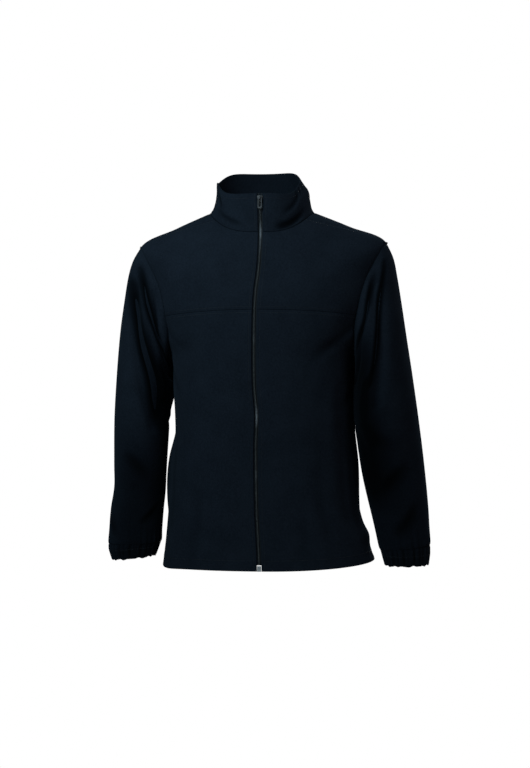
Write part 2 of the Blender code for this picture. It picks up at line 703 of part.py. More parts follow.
def pocket_bag(mouth, collection):
    """The layer of a pocket that shows in its mouth, from the side seam forward behind the front."""
    points, normals = [], []
    drop = CLOTH + POCKET_BAG_DROP
    for station in POCKET_BAG_STATIONS:
        line = front_angles(mouth.side, station)[POCKET_BAG_FIRST_COLUMN:]
        directions = [body_normal(angle, station) for angle in line]
        points.append([body_point(a, station) - drop * n for a, n in zip(line, directions)])
        normals.append(directions)
    return add_wall(mouth.name, points, normals, POCKET_CLOTH, FLEECE, collection)


# ---------------------------------------------------------------- sleeves and cuffs
def sleeve_joins(side, grid):
    """The armhole seam's joins between the body and a sleeve."""
    seam = armhole_seam(side)
    centre = sum(grid[0], Vector()) / len(grid[0])
    sleeve_normals = grid_normals(grid, side, True)[0]
    joins = []
    for column, (angle, station) in enumerate(seam):
        tangent = (grid[0][(column + 1) % len(seam)] - grid[0][column - 1]).normalized()
        run = grid[1][column] - grid[0][column]
        run = (run - tangent * run.dot(tangent)).normalized()
        outward = body_normal(angle, station)
        joins.append(join_at(grid[0][column], tangent, outward, centre, run, sleeve_normals[column]))
    return joins


def sleeve(name, side, grid, joins, collection):
    normals = grid_normals(grid, side, True)
    points = [list(ring) for ring in grid]
    for column, join in enumerate(joins):
        points[0][column] = join.other_point
        normals[0][column] = join.other_normal
    add_wall(name, points, normals, CLOTH, FLEECE, collection, closed=True)
    return points[-1], normals[-1]


def split_ring(ring, parts):
    """A ring with more points on the same straight edges."""
    count = len(ring)
    return [
        ring[i].lerp(ring[(i + 1) % count], part / parts) for i in range(count) for part in range(parts)
    ]


def cuff(name, side, rows, last_ring, last_normals, angles, collection):
    """An elastic band that gathers the sleeve's end."""
    parts = CUFF_COLUMNS_PER_SLEEVE_COLUMN
    closed_angles = angles + [360.0]
    fine_angles = [
        closed_angles[i] + (closed_angles[i + 1] - closed_angles[i]) * part / parts
        for i in range(len(angles))
        for part in range(parts)
    ]
    first = split_ring(last_ring, parts)
    first_normals = [normal.normalized() for normal in split_ring(last_normals, parts)]
    grid = [[tube_point(rows, side, angle, s) for angle in fine_angles] for s in CUFF_STATIONS]
    axis = (sum(grid[-1], Vector()) - sum(grid[0], Vector())).normalized()
    own_shape = [point - own for point, own in zip(first, grid[0])]
    normals = grid_normals(grid, side, True)
    for row, station in enumerate(CUFF_STATIONS):
        held = sin(pi * min(station, 0.85))
        for column, angle in enumerate(fine_angles):
            wave = cos(radians(angle * CUFF_GATHERS)) + 0.35 * sin(radians(angle * 3.0 + 40.0))
            point = grid[row][column] + own_shape[column] * (1.0 - station) + axis * SEAM_GAP
            grid[row][column] = point + normals[row][column] * held * wave * CUFF_GATHER_HEIGHT
    normals = grid_normals(grid, side, True)
    normals[0] = first_normals
    return add_wall(name, grid, normals, CLOTH, FLEECE, collection, closed=True)


# ---------------------------------------------------------------- the zip
def front_spot(run, x, depth):
    """A point on the centre front: a collar or body station, a place across the zip, and a depth."""
    rings, station = run
    ring = row_at(rings, station)
    share = min(abs(x) / ring.half_width_left, 1.0)
    angle = copysign(degrees(asin(share ** (ring.roundness / 2.0))), x)
    point = ring_point(rings, angle, station)
    point.x = ring_point(rings, 0.0, station).x + x
    return point - plain_normal(rings, 0.0, station) * depth


def zip_runs():
    """Every row of the collar and fronts along the zip, from the rim to the bottom box."""
    above = [(COLLAR_RINGS, station) for station in reversed(COLLAR_STATIONS[1:])]
    body = list(YOKE_STATIONS[1:]) + ARMHOLE_STATIONS + list(SKIRT_STATIONS[:-1])
    return above + [(BODY_RINGS, station) for station in body]


def tape(name, side, collection):
    sections = []
    for rings, station in zip_runs():
        on_collar = rings is COLLAR_RINGS
        inner = 0.5 * SEAM_GAP
        if on_collar and station > SLIDER_STATION - 0.1:
            inner = 0.5 * SLIDER_POST_WIDTH + SEAM_GAP
        narrow = on_collar or station < TAPE_NARROWS
        outer = TAPE_HALF_WIDTH_AT_COLLAR if narrow else TAPE_HALF_WIDTH
        spots = ((inner, 0.0), (outer, 0.0), (outer, TAPE_CLOTH), (inner, TAPE_CLOTH))
        run = (rings, station)
        sections.append([front_spot(run, side * x, TAPE_DEPTH + depth) for x, depth in spots])
    return add_bar(name, sections, TAPE, collection)


def coil(collection):
    sections = []
    half = COIL_HALF_WIDTH
    for rings, station in zip_runs():
        if rings is COLLAR_RINGS and station > SLIDER_STATION - 0.07:
            continue
        spots = ((-half, 0.0), (half, 0.0), (half, COIL_HEIGHT), (-half, COIL_HEIGHT))
        run = (rings, station)
        sections.append([front_spot(run, x, COIL_DEPTH + depth) for x, depth in spots])
    return add_bar("zip_coil", sections, COIL, collection)


def slider_frame():
    """The slider's own frame: X across, Y into the jacket, Z up the zip, its middle on the cloth."""
    outward = plain_normal(COLLAR_RINGS, 0.0, SLIDER_STATION)
    inward = -outward
    across = Vector((1.0, 0.0, 0.0))
    inward = (inward - across * inward.dot(across)).normalized()
    up = across.cross(inward)
    place = ring_point(COLLAR_RINGS, 0.0, SLIDER_STATION)
    turn = Matrix((across, inward, up)).transposed().to_4x4()
    return Matrix.Translation(place) @ turn


def prism(name, outline, near, far, axis):
    """A flat outline given a thickness: along Y for an outline in X and Z, along X for one in Y and Z."""
    count = len(outline)
    if axis == "Y":
        vertices = [(a, level, b) for level in (near, far) for a, b in outline]
    else:
        vertices = [(level, a, b) for level in (near, far) for a, b in outline]
    faces = [list(range(count)), list(range(2 * count - 1, count - 1, -1))]
    for i in range(count):
        j = (i + 1) % count
        faces.append([i, j, count + j, count + i])
    return mesh_from(name, vertices, faces)


def shield_outline(top_width, foot_width, length):
    """A slider plate: wide shoulders, sides that draw in, and a rounded foot."""
    top, foot = 0.5 * length, -0.5 * length
    half_top, half_foot = 0.5 * top_width, 0.5 * foot_width
    cut = 0.12 * length
    right = [
        (half_top - cut, top),
        (half_top, top - cut),
        (half_top, 0.5 * top),
        (half_foot, foot + 2.0 * cut),
        (half_foot, foot + cut),
        (half_foot - cut, foot),
    ]
    return right + [(-x, z) for x, z in reversed(right)]


def crown_outline():
    """Side view of the arch that holds the pull: outer curve, then inner curve back."""
    base = -SLIDER_PROUD - 0.5 * SLIDER_PLATE
    face = -SLIDER_PROUD - SLIDER_PLATE
    outside = (CROWN_INSIDE + CROWN_BAR, 0.5 * CROWN_LENGTH)
    inside = (CROWN_INSIDE, 0.5 * CROWN_LENGTH - CROWN_BAR)
    points = [(base, outside[1])]
    for height, half in (outside, inside):
        arc = []
        for step in range(CROWN_SEGMENTS + 1):
            turn = pi * step / CROWN_SEGMENTS
            arc.append((face - height * bow(sin(turn), 3.2), half * bow(cos(turn), 3.2)))
        if half == inside[1]:
            arc.reverse()
            points += [(base, -outside[1]), (base, -half)]
        points += arc
        if half == inside[1]:
            points.append((base, half))
    return points


def slider(collection, cutters):
    frame = slider_frame()
    face = prism(
        "zip_slider",
        shield_outline(SLIDER_TOP_WIDTH, SLIDER_FOOT_WIDTH, SLIDER_LENGTH),
        -SLIDER_PROUD - SLIDER_PLATE,
        -SLIDER_PROUD,
        "Y",
    )
    body = add_object("zip_slider", face, SLIDER_METAL, collection)
    body.matrix_world = frame
    half, top = 0.5 * SLIDER_POST_WIDTH, 0.5 * SLIDER_LENGTH - 0.0012
    low = top - SLIDER_POST_LENGTH
    middle = 0.5 * (top + low)
    brow = top - 0.0006
    post = [(0.0, low), (half, middle), (half, brow), (0.0, top), (-half, brow), (-half, middle)]
    overlap = 0.0002
    pieces = {
        "slider_back_plate": prism(
            "slider_back_plate",
            shield_outline(SLIDER_TOP_WIDTH - 0.0014, SLIDER_FOOT_WIDTH - 0.0006, SLIDER_LENGTH),
            SLIDER_BACK_DEPTH,
            SLIDER_BACK_DEPTH + SLIDER_PLATE,
            "Y",
        ),
        "slider_post": prism(
            "slider_post", post, -SLIDER_PROUD - overlap, SLIDER_BACK_DEPTH + overlap, "Y"
        ),
        "slider_crown": prism(
            "slider_crown", crown_outline(), -0.5 * CROWN_WIDTH, 0.5 * CROWN_WIDTH, "X"
        ),
    }
    for name in ("slider_post", "slider_back_plate", "slider_crown"):
        piece = add_object(name, pieces[name], SLIDER_METAL, cutters)
        piece.matrix_world = frame
        piece.hide_render = True
        piece.display_type = "WIRE"
        union = body.modifiers.new("join_" + name, "BOOLEAN")
        union.operation = "UNION"
        union.solver = "EXACT"
        union.object = piece
    return body


def rounded_outline(half_width, top, foot, corner):
    """A rectangle in X and Z with round corners, the same number of points for any size."""
    points = []
    centres = (
        (half_width - corner, top - corner, 0.0),
        (-half_width + corner, top - corner, 90.0),
        (-half_width + corner, foot + corner, 180.0),
        (half_width - corner, foot + corner, 270.0),
    )
    for x, z, start in centres:
        for step in range(PULL_CORNER_SEGMENTS + 1):
            turn = radians(start + 90.0 * step / PULL_CORNER_SEGMENTS)
            points.append((x + corner * cos(turn), z + corner * sin(turn)))
    return points


def pull_tab(collection):
    """A slotted tab whose top bar lies under the crown. Its origin is on that bar's middle."""
    top = 0.5 * PULL_EYE_BAR
    outer = rounded_outline(0.5 * PULL_WIDTH, top, top - PULL_LENGTH, 0.0022)
    slot_top = top - PULL_EYE_BAR
    inner = rounded_outline(0.5 * PULL_SLOT_WIDTH, slot_top, slot_top - PULL_SLOT_LENGTH, 0.0014)
    count = len(outer)
    half = 0.5 * PULL_THICKNESS
    vertices = [(x, y, z) for outline in (outer, inner) for y in (-half, half) for x, z in outline]
    faces = []
    for i in range(count):
        j = (i + 1) % count
        outer_front, outer_back, inner_front, inner_back = (0, count, 2 * count, 3 * count)
        faces.append([outer_front + i, outer_front + j, inner_front + j, inner_front + i])
        faces.append([outer_back + i, inner_back + i, inner_back + j, outer_back + j])
        faces.append([outer_front + i, outer_back + i, outer_back + j, outer_front + j])
        faces.append([inner_front + i, inner_front + j, inner_back + j, inner_back + i])
    tab = add_object("zip_pull", mesh_from("zip_pull", vertices, faces), SLIDER_METAL, collection)
    axis_out = SLIDER_PROUD + SLIDER_PLATE + 0.5 * CROWN_INSIDE
    tab.matrix_world = slider_frame() @ Matrix.Translation((0.0, -axis_out, 0.0))
    return tab


def bottom_box(collection):
    """The metal box that takes the pin at the foot of the zip, closed over both tapes."""
    run = (BODY_RINGS, 1.0)
    outward = plain_normal(BODY_RINGS, 0.0, 1.0)
    foot = front_spot(run, 0.0, 0.0)
    work = bmesh.new()
    bmesh.ops.create_cube(work, size=1.0)
    size = (BOX_WIDTH, BOX_THICKNESS, BOX_HEIGHT)
    bmesh.ops.scale(work, vec=size, verts=work.verts)
    mesh = bpy.data.meshes.new("zip_box")
    work.to_mesh(mesh)
    work.free()
    box = add_object("zip_box", mesh, BOX_METAL, collection)
    middle = foot - outward * (0.5 * BOX_THICKNESS - BOX_PROUD)
    middle.z = foot.z + 0.5 * BOX_HEIGHT
    box.location = middle
    bevel = box.modifiers.new("soft_edges", "BEVEL")
    bevel.width = BOX_BEVEL
    bevel.segments = 2
    return box


# ---------------------------------------------------------------- the jacket
def build_jacket():
    for item in list(bpy.data.objects):
        bpy.data.objects.remove(item, do_unlink=True)
    jacket = make_collection("fleece_zip_jacket")
    cutters = make_collection("cutters")

    sleeves = {
        1: ("sleeve_left", "cuff_left", SLEEVE_LEFT, SLEEVE_LEFT_FOLDS, CUFF_LEFT),
        -1: ("sleeve_right", "cuff_right", SLEEVE_RIGHT, SLEEVE_RIGHT_FOLDS, CUFF_RIGHT),
    }
    grids = {side: sleeve_grid(side, rows, folds) for side, (_, _, rows, folds, _) in sleeves.items()}
    joins = {
        "armhole": {side: sleeve_joins(side, grid) for side, (grid, _) in grids.items()},
        "neck": neck_joins(),
    }

    upper = list(YOKE_STATIONS) + ARMHOLE_STATIONS[: CHEST_SEAM_STEP + 1]
    lower = ARMHOLE_STATIONS[CHEST_SEAM_STEP:] + list(SKIRT_STATIONS)
    for mouth, word in zip(POCKET_MOUTHS, ("right", "left")):
        front_panel(f"front_{word}_upper", mouth.side, upper, mouth, joins, jacket)
        front_panel(f"front_{word}_lower", mouth.side, lower, mouth, joins, jacket)
        pocket_bag(mouth, jacket)
    back_panel(joins, jacket)
    collar(joins, jacket)

    for side, (sleeve_name, cuff_name, _, _, cuff_rows) in sleeves.items():
        grid, angles = grids[side]
        ring, ring_normals = sleeve(sleeve_name, side, grid, joins["armhole"][side], jacket)
        cuff(cuff_name, side, cuff_rows, ring, ring_normals, angles, jacket)

    tape("zip_tape_left", 1, jacket)
    tape("zip_tape_right", -1, jacket)
    coil(jacket)
    slider(jacket, cutters)
    pull_tab(jacket)
    bottom_box(jacket)


build_jacket()
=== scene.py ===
"""Looks of the full-zip fleece jacket: cloth, seams, creases, stitches, zip, finishes and light."""

import json
from collections import namedtuple
from math import cos, pi, radians, sin

import bmesh
import bpy
import numpy as np
from mathutils import Matrix, Vector

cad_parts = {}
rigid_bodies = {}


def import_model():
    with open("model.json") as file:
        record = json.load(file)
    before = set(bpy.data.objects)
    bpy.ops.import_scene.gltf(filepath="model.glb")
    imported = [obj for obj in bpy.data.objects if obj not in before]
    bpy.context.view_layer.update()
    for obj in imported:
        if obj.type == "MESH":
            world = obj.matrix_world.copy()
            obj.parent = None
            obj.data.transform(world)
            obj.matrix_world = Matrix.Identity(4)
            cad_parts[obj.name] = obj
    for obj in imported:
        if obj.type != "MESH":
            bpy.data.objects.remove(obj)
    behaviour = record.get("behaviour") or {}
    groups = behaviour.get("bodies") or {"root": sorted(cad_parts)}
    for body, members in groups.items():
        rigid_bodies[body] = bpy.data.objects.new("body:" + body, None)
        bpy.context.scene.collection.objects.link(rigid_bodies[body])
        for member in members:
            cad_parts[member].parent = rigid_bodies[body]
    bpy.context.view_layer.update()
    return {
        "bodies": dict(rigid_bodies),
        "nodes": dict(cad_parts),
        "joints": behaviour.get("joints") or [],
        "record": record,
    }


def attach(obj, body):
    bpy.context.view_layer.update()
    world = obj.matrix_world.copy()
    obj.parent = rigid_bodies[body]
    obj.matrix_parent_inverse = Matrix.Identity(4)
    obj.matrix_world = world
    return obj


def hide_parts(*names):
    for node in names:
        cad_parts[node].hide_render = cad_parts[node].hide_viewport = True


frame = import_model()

bpy.ops.object.select_all(action="DESELECT")

# ---------------------------------------------------------------- sizes of the jacket, in metres
CLOTH = 0.0024
COLLAR_CLOTH = 0.0036
POCKET_CLOTH = 0.0012
SEAM_GAP = 0.0003
BODY_LENGTH = 0.66  # along the cloth, from the neck seam to the hem

SHOULDER_TIP = 0.16
ARMPIT = 0.42
CHEST_SEAM = SHOULDER_TIP + (ARMPIT - SHOULDER_TIP) * 0.5 * (1.0 - cos(pi * 7 / 13))
ARMHOLE_FRONT_REACH_RIGHT = 31.0
ARMHOLE_FRONT_REACH_LEFT = 29.6
ARMHOLE_BACK_REACH = 33.0
ARMHOLE_SKEW = 0.8
SHOULDER_SEAM_AT_NECK = 60.0
SHOULDER_SEAM_AT_TIP = 86.0
SIDE_SEAM = 90.0
ARMHOLE_EASE = 0.28  # station at which a sleeve has lost the armhole's own shape
HEM_CORNERS = ((88.0, 24.0), (-68.0, 20.0))  # angle and reach of the left and the right one
HEM_SWELLS = ((0.0048, 0.922, 0.026), (0.0014, 0.992, 0.010))  # height, station and reach
HEM_SAG = 0.0036
HEM_SAGS_FROM = 0.90

POCKET_TOP = 0.63
POCKET_BOTTOM = 0.84
POCKET_MOUTH_REACH = 17.0
POCKET_BAG_TOP = 0.56
POCKET_BAG_FOOT = 0.90
POCKET_BAG_REACH = 0.5  # share of the front, from the side seam, that the bag lies behind
POCKET_BAG_DROP = 0.0005
POCKET_BAG_FROM = 0.012  # share of the bag's width at which it begins

ZIP_HALF_OPENING = 0.0044
ZIP_TOP = 0.995  # collar station at which the tapes begin
ZIP_WANDER_REACH = 0.055
TAPE_HALF_WIDTH = 0.014
TAPE_HALF_WIDTH_AT_COLLAR = 0.0046
TAPE_NARROWS = 0.05
TAPE_SHOWS = 0.0018  # the narrowest that a tape gets beside the slider
TAPE_DEPTH = 0.0030
TAPE_CLOTH = 0.0010
COIL_HALF_WIDTH = 0.0025
COIL_WIRE = 0.00031
COIL_SINKS = 0.0002
COIL_BELOW_SLIDER = 0.075  # in collar stations
TOOTH_PITCH = 0.00132
TAPE_FOOT = 0.984  # body station at which the tapes end in the box

SLIDER_STATION = 0.846
TAPE_OPENS = SLIDER_STATION - 0.09  # collar station above which the tapes part
SLIDER_LENGTH = 0.0120
SLIDER_TOP_WIDTH = 0.0108
SLIDER_FOOT_WIDTH = 0.0072
SLIDER_PLATE = 0.0013
SLIDER_PROUD = 0.0004
SLIDER_WAIST = 0.86  # share of the top width left below the shoulders
SLIDER_CORNER = 0.0016
SLIDER_BACK_DEPTH = 0.0045
SLIDER_POST_WIDTH = 0.0020
SLIDER_POST_LENGTH = 0.0042
CROWN_WIDTH = 0.0022
CROWN_LENGTH = 0.0076
CROWN_INSIDE = 0.0030
CROWN_BAR = 0.0011
CROWN_ROUND = 3.2

PULL_LENGTH = 0.0205
PULL_WIDTH = 0.0080
PULL_SLOT_WIDTH = 0.0040
PULL_SLOT_LENGTH = 0.0150
PULL_THICKNESS = 0.0013
PULL_EYE_BAR = 0.0015
PULL_CORNER = 0.0024

BOX_WIDTH = 0.0074
BOX_HEIGHT = 0.0100
BOX_THICKNESS = 0.0032
BOX_PROUD = 0.0006
BOX_RIM = 0.0011
BOX_SUNK = 0.80  # how much thinner the box is within its rim

STITCH_PITCH = 0.0032
STITCH_LENGTH = 0.0026
THREAD = 0.00028  # half the thread's width

# ---------------------------------------------------------------- tables of the jacket's form
Ring = namedtuple(
    "Ring",
    "station z_front z_right z_left z_back half_width_right half_width_left depth_front depth_back"
    " roundness lift_right lift_left",
)
# From z_front and z_back a ring passes to its side heights as a power of the sine, its lift.
BODY_RINGS = (
    Ring(0.00, -0.045, 0.001, 0.001, 0.020, 0.102, 0.101, 0.092, 0.075, 2.00, 3.0, 3.0),  # neck seam
    Ring(0.08, -0.092, -0.028, -0.027, -0.040, 0.168, 0.170, 0.112, 0.098, 1.94, 2.2, 2.2),
    Ring(0.16, -0.135, -0.064, -0.059, -0.095, 0.238, 0.240, 0.125, 0.116, 1.92, 2.0, 2.0),  # shoulder
    Ring(0.22, -0.162, -0.126, -0.123, -0.138, 0.229, 0.231, 0.133, 0.124, 2.02, 2.0, 2.0),
    Ring(0.30, -0.190, -0.200, -0.199, -0.190, 0.209, 0.211, 0.138, 0.129, 2.18, 2.0, 2.0),  # chest
    Ring(0.36, -0.230, -0.245, -0.245, -0.235, 0.190, 0.193, 0.140, 0.130, 2.28, 2.0, 2.0),
    Ring(0.42, -0.270, -0.277, -0.277, -0.275, 0.175, 0.1790, 0.140, 0.128, 2.32, 2.0, 2.0),  # armpit
    Ring(0.52, -0.340, -0.345, -0.345, -0.345, 0.1715, 0.1788, 0.138, 0.122, 2.30, 2.0, 2.0),
    Ring(0.58, -0.385, -0.387, -0.387, -0.388, 0.1690, 0.1786, 0.1365, 0.1200, 2.30, 2.0, 2.0),
    Ring(0.64, -0.430, -0.431, -0.430, -0.433, 0.1685, 0.1792, 0.1350, 0.1185, 2.30, 2.0, 2.0),
    Ring(0.70, -0.474, -0.475, -0.473, -0.479, 0.1742, 0.1810, 0.134, 0.118, 2.30, 2.0, 2.0),  # waist
    Ring(0.82, -0.560, -0.562, -0.558, -0.565, 0.181, 0.186, 0.134, 0.122, 2.30, 2.0, 2.0),
    Ring(0.93, -0.625, -0.630, -0.624, -0.632, 0.187, 0.203, 0.136, 0.127, 2.30, 2.0, 2.0),
    Ring(1.00, -0.675, -0.677, -0.667, -0.680, 0.193, 0.216, 0.138, 0.130, 2.30, 2.0, 2.0),  # hem
)

COLLAR_RINGS = (
    BODY_RINGS[0],
    Ring(0.15, -0.034, 0.011, 0.010, 0.030, 0.0970, 0.0960, 0.0905, 0.073, 2.05, 3.4, 3.6),
    Ring(0.55, -0.004, 0.037, 0.038, 0.060, 0.0895, 0.0880, 0.0880, 0.070, 2.10, 4.8, 5.6),
    Ring(1.00, 0.029, 0.061, 0.064, 0.0875, 0.0885, 0.0755, 0.0850, 0.067, 2.10, 6.0, 8.0),  # rim
)

Tube = namedtuple(
    "Tube", "station outer_x outer_z inner_x inner_z front_y back_y inner_lean roundness"
)
# The inner lean is how far the sleeve's inner line lies ahead of its outer one.
SLEEVE_RIGHT = (
    Tube(0.00, 0.238, -0.064, 0.175, -0.277, -0.078, 0.080, 0.000, 2.0),  # armhole
    Tube(0.05, 0.253, -0.090, 0.177, -0.286, -0.079, 0.081, 0.000, 2.1),
    Tube(0.11, 0.262, -0.122, 0.1765, -0.298, -0.084, 0.081, -0.009, 2.1),
    Tube(0.19, 0.269, -0.170, 0.1740, -0.316, -0.086, 0.080, -0.018, 2.1),
    Tube(0.30, 0.277, -0.238, 0.1735, -0.345, -0.085, 0.078, -0.018, 2.1),
    Tube(0.42, 0.283, -0.310, 0.1815, -0.385, -0.081, 0.075, -0.006, 2.1),
    Tube(0.56, 0.288, -0.396, 0.184, -0.438, -0.076, 0.070, 0.004, 2.1),  # elbow
    Tube(0.70, 0.288, -0.484, 0.187, -0.500, -0.074, 0.059, 0.004, 2.1),
    Tube(0.78, 0.287, -0.528, 0.1885, -0.538, -0.075, 0.049, 0.000, 2.1),
    Tube(0.86, 0.2925, -0.572, 0.191, -0.576, -0.077, 0.034, 0.000, 2.1),
    Tube(1.00, 0.295, -0.636, 0.193, -0.632, -0.078, 0.010, 0.000, 2.1),  # cuff seam
)

SLEEVE_LEFT = (
    Tube(0.00, 0.240, -0.059, 0.179, -0.277, -0.078, 0.080, 0.000, 2.0),  # armhole
    Tube(0.05, 0.253, -0.088, 0.1800, -0.286, -0.085, 0.081, 0.004, 2.1),
    Tube(0.11, 0.260, -0.121, 0.1795, -0.299, -0.088, 0.083, 0.012, 2.1),
    Tube(0.19, 0.268, -0.170, 0.1790, -0.318, -0.088, 0.084, 0.020, 2.1),
    Tube(0.30, 0.278, -0.238, 0.1780, -0.348, -0.083, 0.083, 0.030, 2.1),
    Tube(0.42, 0.289, -0.310, 0.1785, -0.388, -0.079, 0.078, 0.036, 2.1),
    Tube(0.56, 0.301, -0.396, 0.184, -0.444, -0.076, 0.070, 0.030, 2.1),  # elbow
    Tube(0.70, 0.311, -0.478, 0.194, -0.508, -0.074, 0.059, 0.012, 2.1),
    Tube(0.86, 0.319, -0.566, 0.212, -0.584, -0.077, 0.034, 0.004, 2.1),
    Tube(1.00, 0.3215, -0.634, 0.227, -0.644, -0.078, 0.010, 0.000, 2.1),  # cuff seam
)

CUFF_RIGHT = (
    SLEEVE_RIGHT[-1]._replace(station=0.0),
    Tube(0.30, 0.294, -0.646, 0.197, -0.640, -0.076, 0.006, 0.000, 2.1),
    Tube(1.00, 0.288, -0.668, 0.203, -0.659, -0.070, 0.001, 0.000, 2.1),
)

CUFF_LEFT = (
    SLEEVE_LEFT[-1]._replace(station=0.0),
    Tube(0.30, 0.3210, -0.646, 0.231, -0.653, -0.076, 0.006, 0.000, 2.1),
    Tube(1.00, 0.3190, -0.672, 0.236, -0.674, -0.070, 0.001, 0.000, 2.1),
)

Fold = namedtuple("Fold", "angle_from station_from angle_to station_to width depth_from depth_to")

# A positive depth is a trough and a negative one a ridge. Angles are in degrees from the front.
BODY_FOLDS = (
    Fold(56, 0.33, 38, 0.44, 0.020, 0.004, 0.001),  # hollow below the left armhole
    Fold(-58, 0.34, -44, 0.43, 0.016, 0.002, 0.001),
    Fold(58, 0.52, 62, 0.86, 0.015, 0.003, 0.002),  # soft upright trough on the left front
    Fold(47, 0.54, 50, 0.84, 0.014, -0.002, -0.001),
    Fold(130, 0.36, 150, 0.50, 0.022, 0.004, 0.001),  # from the armholes across the back
    Fold(-130, 0.37, -148, 0.49, 0.020, 0.003, 0.001),
    Fold(118, 0.55, 128, 0.90, 0.020, 0.004, 0.003),
    Fold(-122, 0.58, -118, 0.92, 0.018, 0.003, 0.003),
    Fold(158, 0.60, 154, 0.96, 0.020, 0.003, 0.004),
    Fold(-160, 0.56, -166, 0.95, 0.022, 0.003, 0.004),
)
BODY_UNROLLED = (0.0028, BODY_LENGTH)  # metres for one degree and for the whole length

SLEEVE_RIGHT_FOLDS = (
    Fold(80, 0.03, 158, 0.21, 0.012, 0.006, 0.004),  # beside the armhole seam
    Fold(44, 0.10, 126, 0.52, 0.013, 0.008, 0.004),  # long one to the inner elbow
    Fold(64, 0.08, 140, 0.36, 0.008, -0.003, -0.002),
    Fold(92, 0.78, 120, 0.90, 0.014, 0.003, 0.001),
    Fold(250, 0.12, 215, 0.40, 0.014, 0.006, 0.003),
    Fold(300, 0.16, 240, 0.52, 0.014, 0.005, 0.003),
    Fold(235, 0.58, 280, 0.66, 0.012, 0.003, 0.002),
)
SLEEVE_LEFT_FOLDS = (
    Fold(62, 0.06, 104, 0.44, 0.012, 0.006, 0.004),  # upright, in the front of the sleeve
    Fold(96, 0.05, 160, 0.22, 0.012, 0.005, 0.004),
    Fold(120, 0.20, 132, 0.46, 0.010, -0.003, -0.002),
    Fold(150, 0.52, 128, 0.72, 0.014, 0.003, 0.002),
    Fold(248, 0.10, 218, 0.38, 0.014, 0.005, 0.003),
    Fold(298, 0.14, 244, 0.50, 0.014, 0.006, 0.003),
    Fold(240, 0.60, 284, 0.67, 0.012, 0.003, 0.002),
)
SLEEVE_UNROLLED = (0.00105, 0.56)

ZipWander = namedtuple("ZipWander", "z x")
ZIP_WANDER = (
    ZipWander(-0.680, 0.0050),
    ZipWander(-0.640, 0.0040),
    ZipWander(-0.560, 0.0000),
    ZipWander(-0.450, -0.0015),
    ZipWander(-0.385, 0.0000),
    ZipWander(-0.330, -0.0040),
    ZipWander(-0.220, -0.0042),
    ZipWander(-0.160, -0.0020),
    ZipWander(-0.110, 0.0030),
    ZipWander(-0.060, 0.0040),
    ZipWander(0.030, 0.0020),
)


# ---------------------------------------------------------------- curves, for arrays of places
def row_at(rows, place):
    """A table's columns at every place in its first column, on smooth curves through the rows."""
    table, last = np.array(rows), len(rows) - 1
    place = np.asarray(place, dtype=float)
    low = np.clip(np.searchsorted(table[:, 0], place, side="left") - 1, 0, last - 1)
    before, here, there, after = (table[np.clip(low + step, 0, last)] for step in (-1, 0, 1, 2))
    span = there[..., :1] - here[..., :1]
    u = (place[..., None] - here[..., :1]) / span
    slope_here = (there - before) / (there[..., :1] - before[..., :1]) * span
    slope_there = (after - here) / (after[..., :1] - here[..., :1]) * span
    rise = there - here
    bend = 3.0 * rise - 2.0 * slope_here - slope_there
    values = here + u * slope_here + u * u * bend + u**3 * (slope_here + slope_there - 2.0 * rise)
    return type(rows[0])(*np.moveaxis(values, -1, 0))


def bow(value, roundness):
    """A sine or cosine, squared off by a roundness above 2."""
    return np.sign(value) * np.abs(value) ** (2.0 / roundness)


def smooth_step(value):
    value = np.clip(value, 0.0, 1.0)
    return value * value * (3.0 - 2.0 * value)


def bump(distance, width):
    return np.exp(-((distance / width) ** 2))


def within(value, start, rise, end, fall):
    """0 up to the start, 1 after the rise, and 0 again from the end, to which it falls."""
    return smooth_step((value - start) / rise) * smooth_step((end - value) / fall)


def wrapped(angle):
    """The same angle, from -180 to 180."""
    return (angle + 180.0) % 360.0 - 180.0


def length_of(vectors):
    return np.linalg.norm(vectors, axis=-1)


def unit(vectors):
    return vectors / np.maximum(length_of(vectors), 1e-12)[..., None]


def distances(points, axis=0):
    """Distances walked along lines of points, from the first point of each."""
    return np.insert(np.cumsum(length_of(np.diff(points, axis=axis)), axis=axis), 0, 0.0, axis=axis)


def read_off(places, at, values):
    """Values at some places, column by column, from those given at others."""
    at, values = np.broadcast_arrays(at, values)
    places = np.broadcast_to(places, (len(places), values.shape[1]))
    return np.stack([np.interp(*column) for column in zip(places.T, at.T, values.T)], axis=-1)


def spaced(walked, values, first_inset, last_inset, near_first, near_last, count):
    """Places down the columns of a grid, by distance over the cloth, and the values there.

    The near ones are given for both ends, and the others lie evenly between.
    """
    first, last = np.broadcast_arrays(first_inset, walked[-1] - last_inset)
    between = np.linspace(
        first + near_first[-1], last - near_last[-1], count - len(near_first) - len(near_last) + 2
    )
    top, foot = first + np.array(near_first)[:, None], last - np.array(near_last[::-1])[:, None]
    places = np.concatenate((top, between[1:-1], foot))
    return places, read_off(places, walked, values)


def beside(fold, unrolled, angle, station):
    """The share of a fold's straight line passed, how far aside of it and how far past its ends.

    Distances are measured on the unrolled cloth.
    """
    x, y = fold.angle_from * unrolled[0], fold.station_from * unrolled[1]
    run_x, run_y = fold.angle_to * unrolled[0] - x, fold.station_to * unrolled[1] - y
    across, along, run = angle * unrolled[0] - x, station * unrolled[1] - y, np.hypot(run_x, run_y)
    share = (across * run_x + along * run_y) / run**2
    inside = np.clip(share, 0.0, 1.0)
    return inside, (across * run_y - along * run_x) / run, (share - inside) * run


def relief(folds, unrolled, angle, station):
    """How far folds move points out."""
    height = 0.0
    for fold in folds:
        inside, aside, past = beside(fold, unrolled, angle, station)
        depth = fold.depth_from + (fold.depth_to - fold.depth_from) * inside
        height = height - depth * bump(np.hypot(aside, past), fold.width)
    return height


